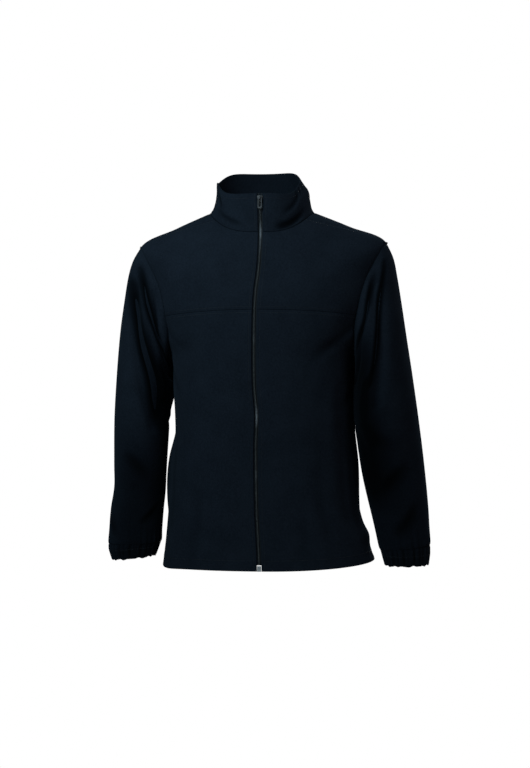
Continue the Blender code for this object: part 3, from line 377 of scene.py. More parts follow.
def creased(creases, unrolled, angle, station):
    """Narrower creases: each bends, fades at both ends and has a low ridge beside it."""
    height = 0.0
    for crease in creases:
        inside, aside, past = beside(crease, unrolled, angle, station)
        aside = aside - crease.bend * np.sin(pi * inside)
        taper = np.sin(pi * (0.08 + 0.84 * inside)) ** 0.8 * bump(past, 1.2 * crease.width)
        ridge = bump(aside - 1.7 * crease.width, 1.1 * crease.width) * crease.ridge
        height = height + crease.depth * taper * (ridge - bump(np.hypot(aside, past), crease.width))
    return height


# ---------------------------------------------------------------- the body and collar surfaces
def ring_points(rings, angle, station):
    """Points of the body or the collar. Angle 0 is the front and 90 the wearer's left."""
    angle, station = np.broadcast_arrays(wrapped(angle), station)
    ring = row_at(rings, station)
    across, forward = np.sin(np.radians(angle)), np.cos(np.radians(angle))
    front, left = forward > 0.0, across > 0.0
    half_width = np.where(left, ring.half_width_left, ring.half_width_right)
    z_middle = np.where(front, ring.z_front, ring.z_back)
    z_side = np.where(left, ring.z_left, ring.z_right)
    lift = np.where(left, ring.lift_left, ring.lift_right)
    x = half_width * bow(across, ring.roundness)
    y = -np.where(front, ring.depth_front, ring.depth_back) * bow(forward, ring.roundness)
    z = z_middle + (z_side - z_middle) * np.abs(across) ** lift
    near_zip = np.where(front, bump(x, ZIP_WANDER_REACH) * forward**2, 0.0)
    return np.stack((x + row_at(ZIP_WANDER, z).x * near_zip, y, z), axis=-1)


def slopes_normal(place, angle, station, turn, step):
    """Outward normals of a surface, from its slopes over a turn and a step."""
    low, high = np.maximum(station - step, 0.0), np.minimum(station + step, 1.0)
    down = place(angle, high) - place(angle, low)
    around = place(angle + turn, station) - place(angle - turn, station)
    return unit(np.cross(down, around))


def plain_body(angle, station):
    return ring_points(BODY_RINGS, angle, station)


def hem_corners(angle, station):
    """The left hem corner swells and turns out in a nub, the right one hangs round and lower."""
    left, right = (bump(angle - middle, reach) for middle, reach in HEM_CORNERS)
    swell = sum(height * bump(station - middle, reach) for height, middle, reach in HEM_SWELLS)
    sag = HEM_SAG * smooth_step((station - HEM_SAGS_FROM) / (1.0 - HEM_SAGS_FROM))
    return np.stack((swell * left, 0.0 * left, -sag * right), axis=-1)


def body_points(angle, station):
    angle = wrapped(angle)
    height = relief(BODY_FOLDS, BODY_UNROLLED, angle, station)[..., None]
    outward = slopes_normal(plain_body, angle, station, 0.6, 0.006)
    return plain_body(angle, station) + height * outward + hem_corners(angle, station)


def body_normals(angle, station):
    return slopes_normal(body_points, angle, station, 1.2, 0.012)


def collar_points(angle, station):
    return ring_points(COLLAR_RINGS, angle, station)


def armhole_angle(station, reach):
    """Angle of the armhole seam, ahead of the side for a negative reach, else behind it."""
    share = np.clip((station - SHOULDER_TIP) / (ARMPIT - SHOULDER_TIP), 0.0, 1.0)
    middle = SHOULDER_SEAM_AT_TIP + (SIDE_SEAM - SHOULDER_SEAM_AT_TIP) * share
    return middle + reach * np.sqrt(np.maximum(0.0, 1.0 - (2.0 * share**ARMHOLE_SKEW - 1.0) ** 2))


def front_reach(side):
    return -ARMHOLE_FRONT_REACH_LEFT if side > 0 else -ARMHOLE_FRONT_REACH_RIGHT


def outer_edge(station, reach):
    """Angle of a front's or back's outer edge: shoulder seam, armhole, then side seam."""
    share = station / SHOULDER_TIP
    shoulder = SHOULDER_SEAM_AT_NECK + (SHOULDER_SEAM_AT_TIP - SHOULDER_SEAM_AT_NECK) * share
    below = np.where(station < ARMPIT, armhole_angle(station, reach), SIDE_SEAM)
    return np.where(station < SHOULDER_TIP, shoulder, below)


def zip_edge(rings, station):
    """Angle at which a surface is half the zip opening away from the centre line."""
    ring = row_at(rings, station)
    share = ZIP_HALF_OPENING / ring.half_width_left
    return np.degrees(np.arcsin(share ** (ring.roundness / 2.0)))


def armhole_stations(steps):
    """Stations down an armhole, close together where the seam turns."""
    turn = np.linspace(0.0, pi, steps + 1)
    share = (0.5 * (1.0 - np.cos(turn))) ** (1.0 / ARMHOLE_SKEW)
    return SHOULDER_TIP + (ARMPIT - SHOULDER_TIP) * share


# ---------------------------------------------------------------- sleeves
def tube_points(rows, side, angle, station):
    """Points of a sleeve: angle 0 is its outer line, 90 its front and 180 its inner line."""
    angle, station = np.broadcast_arrays(angle, station)
    row = row_at(rows, station)
    along = bow(np.cos(np.radians(angle)), row.roundness)
    forward = bow(np.sin(np.radians(angle)), row.roundness)
    outward = 0.5 * (1.0 + along)
    x = side * (row.inner_x + outward * (row.outer_x - row.inner_x))
    z = row.inner_z + outward * (row.outer_z - row.inner_z)
    middle = 0.5 * (row.front_y + row.back_y) - 0.5 * (1.0 - along) * row.inner_lean
    return np.stack((x, middle - 0.5 * forward * (row.back_y - row.front_y), z), axis=-1)


def column_angles(points):
    """Angles around a sleeve for the points of its armhole, by distance along each half."""
    half = len(points) // 2
    closed = np.concatenate((points, points[:1]))
    angles = []
    for number in (0, 1):
        walked = distances(closed[number * half : (number + 1) * half + 1])
        angles.append(180.0 * (number + walked[:-1] / walked[-1]))
    return np.concatenate(angles)


# ---------------------------------------------------------------- cloth
Cloth = namedtuple("Cloth", "piece outer outward")
SEWN = {}  # lines of stitches, by the cloth they hold
INSIDE_SHADE = 0.2  # painted shade on the inner side of every cloth piece
OPEN_RIM, SEWN_RIM = 2.2, 6.0  # how square a rim is
NEAR_EDGE = (0.0, 0.0007, 0.0015, 0.0026, 0.0040, 0.0052, 0.0060, 0.0068, 0.0080, 0.0100, 0.0130)


def grid_normals(points, facing, closed=False):
    down = np.gradient(points, axis=0)
    if closed:
        around = np.roll(points, -1, axis=1) - np.roll(points, 1, axis=1)
    else:
        around = np.gradient(points, axis=1)
    return facing * unit(np.cross(down, around))


def perimeter(rows, columns, closed):
    """Loops of grid places round the rims, in the order in which the outer faces run along them."""
    if closed:
        foot = [(rows - 1, column) for column in range(columns)]
        return [foot, [(0, column) for column in reversed(range(columns))]]
    left = [(row, 0) for row in range(rows - 1)]
    foot = [(rows - 1, column) for column in range(columns - 1)]
    right = [(row, columns - 1) for row in range(rows - 1, 0, -1)]
    top = [(0, column) for column in range(columns - 1, 0, -1)]
    return [left + foot + right + top]


def mesh_piece(name, points, faces):
    """A smooth mesh in the scene."""
    mesh = bpy.data.meshes.new(name)
    mesh.from_pydata(points.tolist(), [], faces)
    mesh.polygons.foreach_set("use_smooth", [True] * len(mesh.polygons))
    piece = bpy.data.objects.new(name, mesh)
    bpy.context.scene.collection.objects.link(piece)
    return piece


def cloth_piece(name, base, normals, height, thickness, closed=False, sewn="", nap=None):
    """A sheet with soft round rims: outer points raised by the height, inner ones a thickness in.

    Sewn names the sides whose rims are squarer, where another piece lies against them. The painted
    shade is how much painted shade each outer point carries, from 0 to 1; by default that in its
    creases.
    """
    rows, columns = base.shape[:2]
    outer, inner = base + height[..., None] * normals, base - thickness * normals
    half, layer = 0.5 * thickness, rows * columns
    number = np.arange(layer).reshape(rows, columns)
    if closed:
        number = np.concatenate((number, number[:, :1]), axis=1)
    quads = np.stack((number[:-1, :-1], number[1:, :-1], number[1:, 1:], number[:-1, 1:]), axis=-1)
    quads = quads.reshape(-1, 4)
    faces = [quads, quads[:, ::-1] + layer]
    points = [outer.reshape(-1, 3), inner.reshape(-1, 3)]
    count = 2 * layer
    for loop in perimeter(rows, columns, closed):
        row, column = np.array(loop).T
        edge, outward = base[row, column], normals[row, column]
        before, after = edge - np.roll(edge, 1, axis=0), np.roll(edge, -1, axis=0) - edge
        away = unit(np.cross(before + after, outward))
        inner_column = column if closed else np.clip(column, 1, columns - 2)
        inside = base[np.clip(row, 1, rows - 2), inner_column]
        if np.sum(away * (edge - inside)) < 0.0:
            away = -away
        corner = 0.5 + 0.5 * np.sum(unit(before) * unit(after), axis=-1)
        away = away / np.sqrt(np.clip(corner, 0.45, 1.0))[:, None]
        loops = [number[row, column]]
        sides = {"top": row == 0, "foot": row == rows - 1}
        sides |= {"first": column == 0, "last": column == columns - 1}
        joined = np.zeros(len(row), dtype=bool)
        for word in sewn.split():
            joined |= sides[word]
        roundness = np.where(joined, SEWN_RIM, OPEN_RIM)[:, None]
        for turn in (0.25 * pi, 0.5 * pi, 0.75 * pi):
            up = bow(cos(turn), roundness) if turn != 0.5 * pi else 0.0
            out = bow(sin(turn), roundness)
            points.append(edge - half * outward + half * (up * outward + out * away))
            loops.append(count + np.arange(len(loop)))
            count += len(loop)
        loops.append(number[row, column] + layer)
        for near, far in zip(loops[:-1], loops[1:]):
            faces.append(np.stack((np.roll(near, -1), near, far, np.roll(far, -1)), axis=-1))
    points, faces = np.concatenate(points), np.concatenate(faces)
    corner = points[faces]
    swept = np.cross(corner[:, 2] - corner[:, 0], corner[:, 3] - corner[:, 1])
    if np.sum(swept * corner.mean(axis=1)) < 0.0:
        faces = faces[:, ::-1]
    piece = mesh_piece(name, points, faces.tolist())
    shade_at_points = np.full(len(points), INSIDE_SHADE)
    shade_at_points[:layer] = crease_shade(height).ravel() if nap is None else nap.ravel()
    piece.data.attributes.new("nap", "FLOAT", "POINT").data.foreach_set("value", shade_at_points)
    return Cloth(piece, outer, normals)


def fleece(node, base, facing, height, thickness=CLOTH, closed=False, sewn="", nap=None):
    """A piece of fleece in place of the solid of the same name."""
    normals = grid_normals(base, facing, closed)
    cloth = cloth_piece(f"fleece_{node}", base, normals, height, thickness, closed, sewn, nap)
    dressed(cloth.piece, FLEECE, "fleece", node)
    return cloth


def sew(cloth, distance, at, wanted=None):
    """A line of stitches down a cloth's rows, at a distance that grows or falls along them."""
    rows = range(len(distance)) if wanted is None else np.flatnonzero(wanted)
    lines = []
    for values in (cloth.outer, cloth.outward):
        pairs = [[rising(distance[row], column) for column in values[row].T] for row in rows]
        lines.append(np.array([[np.interp(at, *pair) for pair in line] for line in pairs]))
    SEWN.setdefault(cloth.piece.name, []).append(lines)


def sew_across(cloth, distance, at, wanted=None):
    """The same over a cloth's columns."""
    outer, outward = np.swapaxes(cloth.outer, 0, 1), np.swapaxes(cloth.outward, 0, 1)
    sew(Cloth(cloth.piece, outer, outward), distance.T, at, wanted)


def rising(distance, values):
    return (distance, values) if distance[-1] > distance[0] else (distance[::-1], values[::-1])


# ---------------------------------------------------------------- cut pieces of the body
YOKE = np.linspace(0.0, SHOULDER_TIP, 27)[:-1]
ARMHOLE = armhole_stations(64)
SKIRT = np.linspace(ARMPIT, 1.0, 92)[1:]
BODY_STATIONS = np.concatenate((YOKE, ARMHOLE, SKIRT))
SEAM_DRAW = 0.0001  # half the space left between two pieces at an armhole
SEAM_REACH = 0.010  # how far from the seam the cloth moves with it
EDGE_ROW = 0.5 * CLOTH  # where a panel's outer side ends short of a seam
ROW_CLEARANCE = 0.002  # between the close rows and the first even one
FRONT_COLUMNS, BACK_COLUMNS = 72, 150
COLLAR_COLUMNS, COLLAR_ROWS = 170, 62
SLEEVE_ROWS, CUFF_ROWS = 170, 30


def seam_inset(thickness, shared):
    """How far a piece's edge draws back from a seam, whose outward normals share this cosine."""
    half_turn = np.sqrt(np.clip(0.5 * (1.0 - shared), 0.0, 0.6))
    return (0.5 * thickness * (1.0 + half_turn) + 0.5 * SEAM_GAP) / np.sqrt(1.0 - half_turn**2)


def drawn(base, pull, distance):
    """Points near a seam, moved to lie beside the other piece."""
    return base + pull * bump(distance, SEAM_REACH)[..., None]


def rows_between(above, below):
    """A panel's row stations, close together near both edges. The edges come first and last."""
    start, end = above + EDGE_ROW / BODY_LENGTH, below - EDGE_ROW / BODY_LENGTH
    near = np.array(NEAR_EDGE[:-1]) / BODY_LENGTH
    clear = near[-1] + ROW_CLEARANCE
    even = BODY_STATIONS[(BODY_STATIONS > start + clear) & (BODY_STATIONS < end - clear)]
    return np.concatenate((start + near, even, end - near[::-1]))


def even_rows(angle, stations, above, below):
    """Stations of a panel's places, moved near both edges to follow their seams evenly."""
    place = np.broadcast_to(stations[:, None], angle.shape).copy()
    for edge, row, step in ((above, 0, 0.01), (below, -1, -0.01)):
        run = body_points(angle[row], np.full(angle.shape[1], edge + step))
        run = run - body_points(angle[row], np.full(angle.shape[1], edge))
        scale = BODY_LENGTH * abs(step) / length_of(run)
        place += (place - edge) * (scale - 1.0) * bump(stations[:, None] - edge, 0.02)
    return place


def body_grid(stations, first_angle, last_angle, *spacing):
    """Angles, in rows, of a body piece's columns, and their distances from both edges."""
    share = np.linspace(0.0, 1.0, 160)
    dense = first_angle[:, None] + (last_angle - first_angle)[:, None] * share
    walked = distances(body_points(dense, stations[:, None]), 1).T
    places, angles = spaced(walked, dense.T, *spacing)
    return angles.T, places.T, (walked[-1] - places).T


def armhole_seam(side):
    """An armhole seam's points and normals, from its tip down the front and up the back."""
    front = side * armhole_angle(ARMHOLE, front_reach(side))
    back = side * armhole_angle(ARMHOLE, ARMHOLE_BACK_REACH)
    angle = np.concatenate((front, back[-2:0:-1]))
    station = np.concatenate((ARMHOLE, ARMHOLE[-2:0:-1]))
    return body_points(angle, station), body_normals(angle, station)


def sleeve_surface(side, rows, seam, angles):
    """A function that gives a sleeve's points, in rows of stations and columns of angles."""
    own_shape = seam - tube_points(rows, side, angles, 0.0)

    def bare(station):
        fade = smooth_step(1.0 - station / ARMHOLE_EASE)[..., None]
        return tube_points(rows, side, angles, station) + fade * own_shape

    return bare


Join = namedtuple("Join", "apart shared")


def armhole_join(side, seam, body_side, bare):
    """How body and sleeve lie apart along their seam, and the cosine of their normals."""

    def dot(first, second):
        return np.sum(first * second, axis=-1, keepdims=True)

    run = bare(np.full(len(seam), 0.02)) - bare(np.full(len(seam), 0.0))
    tangent = unit(np.roll(seam, -1, axis=0) - np.roll(seam, 1, axis=0))
    run = unit(run - tangent * dot(run, tangent))
    sleeve_side = -side * unit(np.cross(run, tangent))
    into_body = unit(np.cross(tangent, body_side))
    into_body *= np.sign(dot(into_body, seam - seam.mean(axis=0)))
    apart = unit(run - into_body + 0.5 * body_side) * SEAM_DRAW
    shared = np.where(dot(run, body_side) < 0.0, dot(sleeve_side, body_side), 1.0)
    return Join(apart, shared[:, 0])


# ---------------------------------------------------------------- creases and edges of the cloth
Crease = namedtuple("Crease", "angle_from station_from angle_to station_to bend width depth ridge")
BODY_CREASES = (
    Crease(66, 0.30, 40, 0.40, 0.006, 0.009, 0.0016, 0.5),  # from the left armhole
    Crease(60, 0.38, 34, 0.43, -0.004, 0.010, 0.0012, 0.5),
    Crease(-66, 0.31, -46, 0.41, -0.006, 0.008, 0.0008, 0.5),
    Crease(-84, 0.44, -60, 0.52, 0.005, 0.010, 0.0014, 0.5),
    Crease(84, 0.45, 62, 0.56, 0.006, 0.011, 0.0016, 0.5),
    Crease(66, 0.62, 70, 0.92, 0.004, 0.010, 0.0010, 0.6),
    Crease(36, 0.66, 40, 0.96, -0.006, 0.014, 0.0006, 0.5),
    Crease(-70, 0.60, -64, 0.88, 0.005, 0.012, 0.0009, 0.5),
    Crease(-34, 0.78, -38, 0.99, 0.003, 0.012, 0.0006, 0.5),
    Crease(24, 0.80, 20, 0.99, 0.003, 0.010, 0.0005, 0.5),
    Crease(118, 0.26, 142, 0.38, 0.008, 0.011, 0.0018, 0.5),  # across the back
    Crease(-117, 0.28, -138, 0.40, -0.008, 0.010, 0.0018, 0.5),
    Crease(96, 0.46, 122, 0.58, 0.006, 0.012, 0.0018, 0.5),
    Crease(-97, 0.47, -126, 0.60, -0.007, 0.011, 0.0018, 0.5),
    Crease(140, 0.58, 146, 0.94, 0.006, 0.013, 0.0018, 0.6),
    Crease(-142, 0.62, -140, 0.98, -0.005, 0.012, 0.0018, 0.6),
    Crease(172, 0.66, 169, 0.99, 0.005, 0.013, 0.0016, 0.6),
    Crease(104, 0.66, 108, 0.97, -0.004, 0.011, 0.0018, 0.6),
    Crease(-105, 0.70, -102, 0.98, 0.004, 0.011, 0.0016, 0.6),
)
SLEEVE_RIGHT_CREASES = (
    Crease(38, 0.04, 153, 0.12, -0.012, 0.0070, 0.0040, 0.6),  # beside the armhole seam
    Crease(32, 0.11, 134, 0.47, 0.0245, 0.0105, 0.0048, 0.4),  # long bow down to the inner elbow
    Crease(128, 0.20, 150, 0.40, 0.003, 0.006, 0.0020, 0.5),
    Crease(74, 0.66, 112, 0.72, 0.003, 0.008, 0.0012, 0.5),
    Crease(112, 0.90, 148, 0.83, 0.000, 0.005, 0.0016, 0.5),
    Crease(20, 0.86, 48, 0.95, 0.003, 0.007, 0.0012, 0.5),
    Crease(262, 0.10, 226, 0.34, 0.006, 0.008, 0.0024, 0.6),
    Crease(286, 0.20, 240, 0.46, 0.006, 0.008, 0.0024, 0.6),
    Crease(232, 0.48, 276, 0.54, -0.004, 0.008, 0.0022, 0.5),
    Crease(240, 0.62, 290, 0.70, -0.004, 0.008, 0.0020, 0.5),
    Crease(228, 0.80, 262, 0.90, 0.003, 0.007, 0.0016, 0.5),
    Crease(330, 0.40, 304, 0.60, 0.006, 0.009, 0.0014, 0.5),
    Crease(170, 0.44, 206, 0.50, 0.004, 0.008, 0.0020, 0.5),
)
SLEEVE_LEFT_CREASES = (
    Crease(28, 0.035, 112, 0.34, 0.0130, 0.0045, 0.0038, 0.6),  # down the sleeve's front
    Crease(55, 0.025, 134, 0.085, -0.0080, 0.0060, 0.0030, 0.5),  # beside the armhole seam
    Crease(118, 0.30, 132, 0.46, 0.004, 0.006, 0.0018, 0.5),
    Crease(132, 0.50, 100, 0.60, 0.004, 0.008, 0.0012, 0.5),
    Crease(182, 0.10, 178, 0.52, 0.000, 0.014, -0.0016, 0.0),  # filled out beside the body
    Crease(72, 0.70, 110, 0.76, 0.003, 0.008, 0.0014, 0.5),
    Crease(60, 0.84, 100, 0.93, -0.003, 0.007, 0.0014, 0.5),
    Crease(264, 0.11, 228, 0.33, 0.006, 0.008, 0.0024, 0.6),
    Crease(288, 0.22, 238, 0.44, 0.006, 0.008, 0.0024, 0.6),
    Crease(230, 0.49, 278, 0.56, -0.004, 0.008, 0.0022, 0.5),
    Crease(242, 0.64, 288, 0.71, -0.004, 0.008, 0.0020, 0.5),
    Crease(226, 0.82, 264, 0.92, 0.003, 0.007, 0.0016, 0.5),
    Crease(328, 0.38, 306, 0.60, 0.006, 0.009, 0.0014, 0.5),
    Crease(168, 0.46, 208, 0.52, 0.004, 0.008, 0.0020, 0.5),
)
COLLAR_CREASES = (
    Crease(16, 0.12, 58, 0.26, 0.003, 0.009, 0.0026, 0.5),  # the collar sinks over the left front
    Crease(86, 0.42, 90, 0.80, 0.000, 0.014, -0.0034, 0.0),  # and swells on its left side
    Crease(92, 0.02, 92, 0.16, 0.000, 0.008, 0.0014, 0.0),
    Crease(-84, 0.06, -88, 0.46, 0.000, 0.014, 0.0032, 0.0),  # it draws in at the right
    Crease(66, 0.66, 68, 0.98, 0.001, 0.003, 0.0010, 0.6),  # short upright puckers at the left rim
    Crease(74, 0.70, 75, 0.99, 0.001, 0.003, 0.0010, 0.6),
    Crease(58, 0.74, 60, 0.98, 0.001, 0.003, 0.0008, 0.6),
    Crease(30, 0.50, 64, 0.86, 0.002, 0.007, 0.0012, 0.6),
    Crease(-20, 0.20, -60, 0.30, 0.003, 0.007, 0.0010, 0.5),
    Crease(-52, 0.40, -72, 0.92, 0.002, 0.006, 0.0014, 0.6),
    Crease(128, 0.20, 168, 0.34, 0.003, 0.007, 0.0012, 0.5),
    Crease(-126, 0.22, -160, 0.32, 0.003, 0.007, 0.0012, 0.5),
)

COLLAR_UNROLLED = (0.0016, 0.08)

ZIP_STITCHES = 0.0058  # distances of the stitch lines from the edges beside them
SEAM_STITCHES = 0.0055
RIM_STITCHES = 0.0095
MOUTH_STITCHES = 0.0095
HEM_STITCHES = 0.0195
CUFF_STITCHES = 0.0200

SEAM_DIP = 0.0006
SEAM_DIP_WIDTH = 0.0034
STITCH_DIP = 0.00045
STITCH_DIP_WIDTH = 0.0009
PUFF = 0.00035  # the cloth's rise on both sides of a stitch line
PUFF_WIDTH = 3.2 * STITCH_DIP_WIDTH
FULL_SHADE_DEPTH = 0.0032  # how deep a crease is in which the painted shade is full
SIDE_SWELL, SIDE_SWELL_WIDTH = 0.0024, 0.012
SIDE_SWELL_ALONG = (0.32, 0.06, 0.66, 0.08)  # start, rise, end and fall, in stations
FRONT_CALM = (0.012, 0.05)  # how near the zip creases end, and over what distance they fade
COLLAR_CALM = (0.010, 0.03)
HEM_WAVE_FRONT, HEM_WAVE_BACK = 0.0008, 0.0010
CHEST_SEAM_SHARE = 0.45  # the chest seam lies flatter than the others


def calmed(from_zip, calm):
    return smooth_step((from_zip - calm[0]) / calm[1])


def seam_dip(distance):
    """The cloth sinks a little towards a seam."""
    return -SEAM_DIP * bump(distance, SEAM_DIP_WIDTH)


def crease_shade(height):
    """How much painted shade lies in the bottom of a crease, from 0 to 1."""
    return np.clip(-height / FULL_SHADE_DEPTH, 0.0, 1.0)


def side_swell(distance, station):
    """Under the left arm the side fills out until it touches the sleeve."""
    return SIDE_SWELL * bump(distance, SIDE_SWELL_WIDTH) * within(station, *SIDE_SWELL_ALONG)


def stitch_groove(distance, from_edge):
    """A stitch line that runs at some distance from an edge and sinks into the nap."""
    offset = distance - from_edge
    return PUFF * bump(offset, PUFF_WIDTH) - STITCH_DIP * bump(offset, STITCH_DIP_WIDTH)


def ripples(place, pitch, seed):
    """Uneven small waves along an edge, from -1 to 1."""
    turn = 2.0 * pi * place / pitch
    waves = ((1.0, 1.0, 1.0), (0.7, 0.57, 2.1), (0.5, 1.71, 0.7))  # size, frequency and start
    return sum(size * np.sin(often * turn + start * seed) for size, often, start in waves) / 2.2


def dressed(piece, finish, slot, *nodes, body="jacket"):
    """Give a piece its finish and its body, and hide the solids that it stands for."""
    piece.data.materials.clear()
    piece.data.materials.append(finish)
    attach(piece, body)
    if nodes:
        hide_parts(*nodes)


# ---------------------------------------------------------------- fronts and back
PocketMouth = namedtuple("PocketMouth", "side stand_out")
POCKET_MOUTHS = {"right": PocketMouth(-1, 0.0085), "left": PocketMouth(1, 0.0050)}


def in_mouth(station):
    """Whether a station lies in the pocket mouths."""
    return (station > POCKET_TOP) & (station < POCKET_BOTTOM)


def mouth_lift(mouth, angle, station):
    """How far the front's edge stands out at a pocket mouth."""
    along = np.clip((station - POCKET_TOP) / (POCKET_BOTTOM - POCKET_TOP), 0.0, 1.0)
    near = 1.0 - (SIDE_SEAM - np.abs(angle)) / POCKET_MOUTH_REACH
    return mouth.stand_out * np.sin(pi * along) ** 0.8 * smooth_step(near)


def armhole_pull(join, station, back):
    """For each row, how a panel's armhole edge moves beside the sleeve and draws back."""
    order = np.arange(len(ARMHOLE))
    if back:
        order = -order % len(join.shared)
    apart = -read_off(station[:, None], ARMHOLE[:, None], join.apart[order])
    shared = np.interp(station, ARMHOLE, join.shared[order])
    inside = (station > SHOULDER_TIP) & (station < ARMPIT)
    inset = np.where(inside, seam_inset(CLOTH, shared), 0.5 * (CLOTH + SEAM_GAP))
    return (apart * inside[:, None])[:, None], inset


NEAR_ZIP = (0.0, 0.0006, 0.0014, 0.0026, 0.0040, 0.0050, 0.0058, 0.0066, 0.0076, 0.0095, 0.0125)


def front_piece(word, part, join):
    """One front, above or below the chest seam."""
    mouth, upper = POCKET_MOUTHS[word], part == "upper"
    side = mouth.side
    above, below = (0.0, CHEST_SEAM) if upper else (CHEST_SEAM, 1.0)
    station = rows_between(above, below)
    pull, inset = armhole_pull(join, station, False)
    zip_side = side * zip_edge(BODY_RINGS, station)
    far_side = side * outer_edge(station, front_reach(side))
    angle, from_zip, from_seam = body_grid(
        station, zip_side, far_side, 0.5 * CLOTH, inset, NEAR_ZIP, NEAR_EDGE, FRONT_COLUMNS
    )
    place = even_rows(angle, station, above, below)
    lift = mouth_lift(mouth, angle, place)[..., None]
    base = body_points(angle, place) + lift * body_normals(angle, place)
    base = drawn(base, pull, from_seam)
    down = distances(base)
    from_top, from_foot = down + EDGE_ROW, down[-1] - down + EDGE_ROW
    from_chest = from_foot if upper else from_top
    calm = calmed(from_zip, FRONT_CALM)
    height = creased(BODY_CREASES, BODY_UNROLLED, angle, place) * calm
    # painted shade in the bottom of the creases, at half strength on the fronts
    nap = 0.5 * crease_shade(height)
    height += seam_dip(from_seam) + stitch_groove(from_zip, ZIP_STITCHES)
    height += CHEST_SEAM_SHARE * (seam_dip(from_chest) + stitch_groove(from_chest, SEAM_STITCHES))
    if side > 0:
        height += side_swell(from_seam, place)
    if upper:
        height += (place < SHOULDER_TIP) * stitch_groove(from_seam, SEAM_STITCHES)
        height += seam_dip(from_top)
    else:
        height += in_mouth(place) * stitch_groove(from_seam, MOUTH_STITCHES)
        height += stitch_groove(from_foot, HEM_STITCHES)
        waves = ripples(angle, 11.0, 1.3 + side) * bump(from_foot - 0.012, 0.014)
        height += HEM_WAVE_FRONT * waves * calm
    height *= smooth_step((from_zip + 0.001) / 0.004)
    sewn = "top foot last" if upper else "top last"
    cloth = fleece(f"front_{word}_{part}", base, side, height, sewn=sewn, nap=nap)
    sew(cloth, from_zip, ZIP_STITCHES)
    sew_across(cloth, from_chest, SEAM_STITCHES)
    if upper:
        sew(cloth, from_seam, SEAM_STITCHES, station < SHOULDER_TIP - 0.01)
    else:
        sew_across(cloth, from_foot, HEM_STITCHES)
        sew(cloth, from_seam, MOUTH_STITCHES, in_mouth(station))


def back_piece(joins):
    """The back, in one piece from side seam to side seam."""
    station = rows_between(0.0, 1.0)
    pull_left, inset_left = armhole_pull(joins[1], station, True)
    pull_right, inset_right = armhole_pull(joins[-1], station, True)
    edge = outer_edge(station, ARMHOLE_BACK_REACH)
    angle, from_left, from_right = body_grid(
        station, edge, 360.0 - edge, inset_left, inset_right, NEAR_EDGE, NEAR_EDGE, BACK_COLUMNS
    )
    place = even_rows(angle, station, 0.0, 1.0)
    base = drawn(drawn(body_points(angle, place), pull_left, from_left), pull_right, from_right)
    down = distances(base)
    from_top, from_foot = down + EDGE_ROW, down[-1] - down + EDGE_ROW
    height = creased(BODY_CREASES, BODY_UNROLLED, wrapped(angle), place)
    # painted shade in the bottom of the creases
    nap = crease_shade(height)
    height += seam_dip(np.minimum(from_left, from_right)) + seam_dip(from_top)
    height += side_swell(from_left, place) + stitch_groove(from_foot, HEM_STITCHES)
    height += HEM_WAVE_BACK * ripples(angle, 12.0, 0.4) * bump(from_foot - 0.012, 0.016)
    cloth = fleece("back", base, 1.0, height, sewn="top first last", nap=nap)
    sew_across(cloth, from_foot, HEM_STITCHES)


# ---------------------------------------------------------------- collar
NEAR_RIM = (0.0, 0.0008, 0.0018, 0.0032, 0.0052, 0.0070, 0.0082, 0.0090, 0.0098, 0.0110, 0.0130)
NEAR_COLLAR_ZIP = (0.0, 0.0006, 0.0016, 0.0030, 0.0045, 0.0060, 0.0068, 0.0078, 0.0095, 0.0125)


def collar_piece():
    """Doubled fleece, made as one thick sheet, from the neck seam to the rim, open at the zip."""
    half = 0.5 * COLLAR_CLOTH
    dense = np.linspace(0.0, 1.0, 40)[:, None]
    first = zip_edge(COLLAR_RINGS, dense)
    ring = first + (360.0 - 2.0 * first) * np.linspace(0.0, 1.0, 400)
    walked = distances(collar_points(ring, dense), 1).T
    near = NEAR_COLLAR_ZIP
    share = spaced(walked, ring.T, half, half, near, near, COLLAR_COLUMNS)[1].T
    risen = distances(collar_points(share, dense))
    foot = half + SEAM_DRAW
    from_foot, station = spaced(risen, dense, foot, half, NEAR_EDGE[:-1], NEAR_RIM, COLLAR_ROWS)
    from_rim = risen[-1] - from_foot
    angle = read_off(station, dense, share)
    base = collar_points(angle, station)
    from_left = distances(base, 1) + half
    from_right = from_left[:, -1:] - from_left + half
    from_zip = np.minimum(from_left, from_right)
    height = creased(COLLAR_CREASES, COLLAR_UNROLLED, wrapped(angle), station)
    height *= calmed(from_zip, COLLAR_CALM)
    # painted shade in the bottom of the creases
    nap = crease_shade(height)
    height += seam_dip(from_foot) + stitch_groove(from_rim, RIM_STITCHES)
    height += stitch_groove(from_zip, ZIP_STITCHES)
    cloth = fleece("collar", base, -1.0, height, COLLAR_CLOTH, sewn="top", nap=nap)
    for from_side in (from_left, from_right):
        sew(cloth, from_side, ZIP_STITCHES)
    sew_across(cloth, from_rim, RIM_STITCHES)


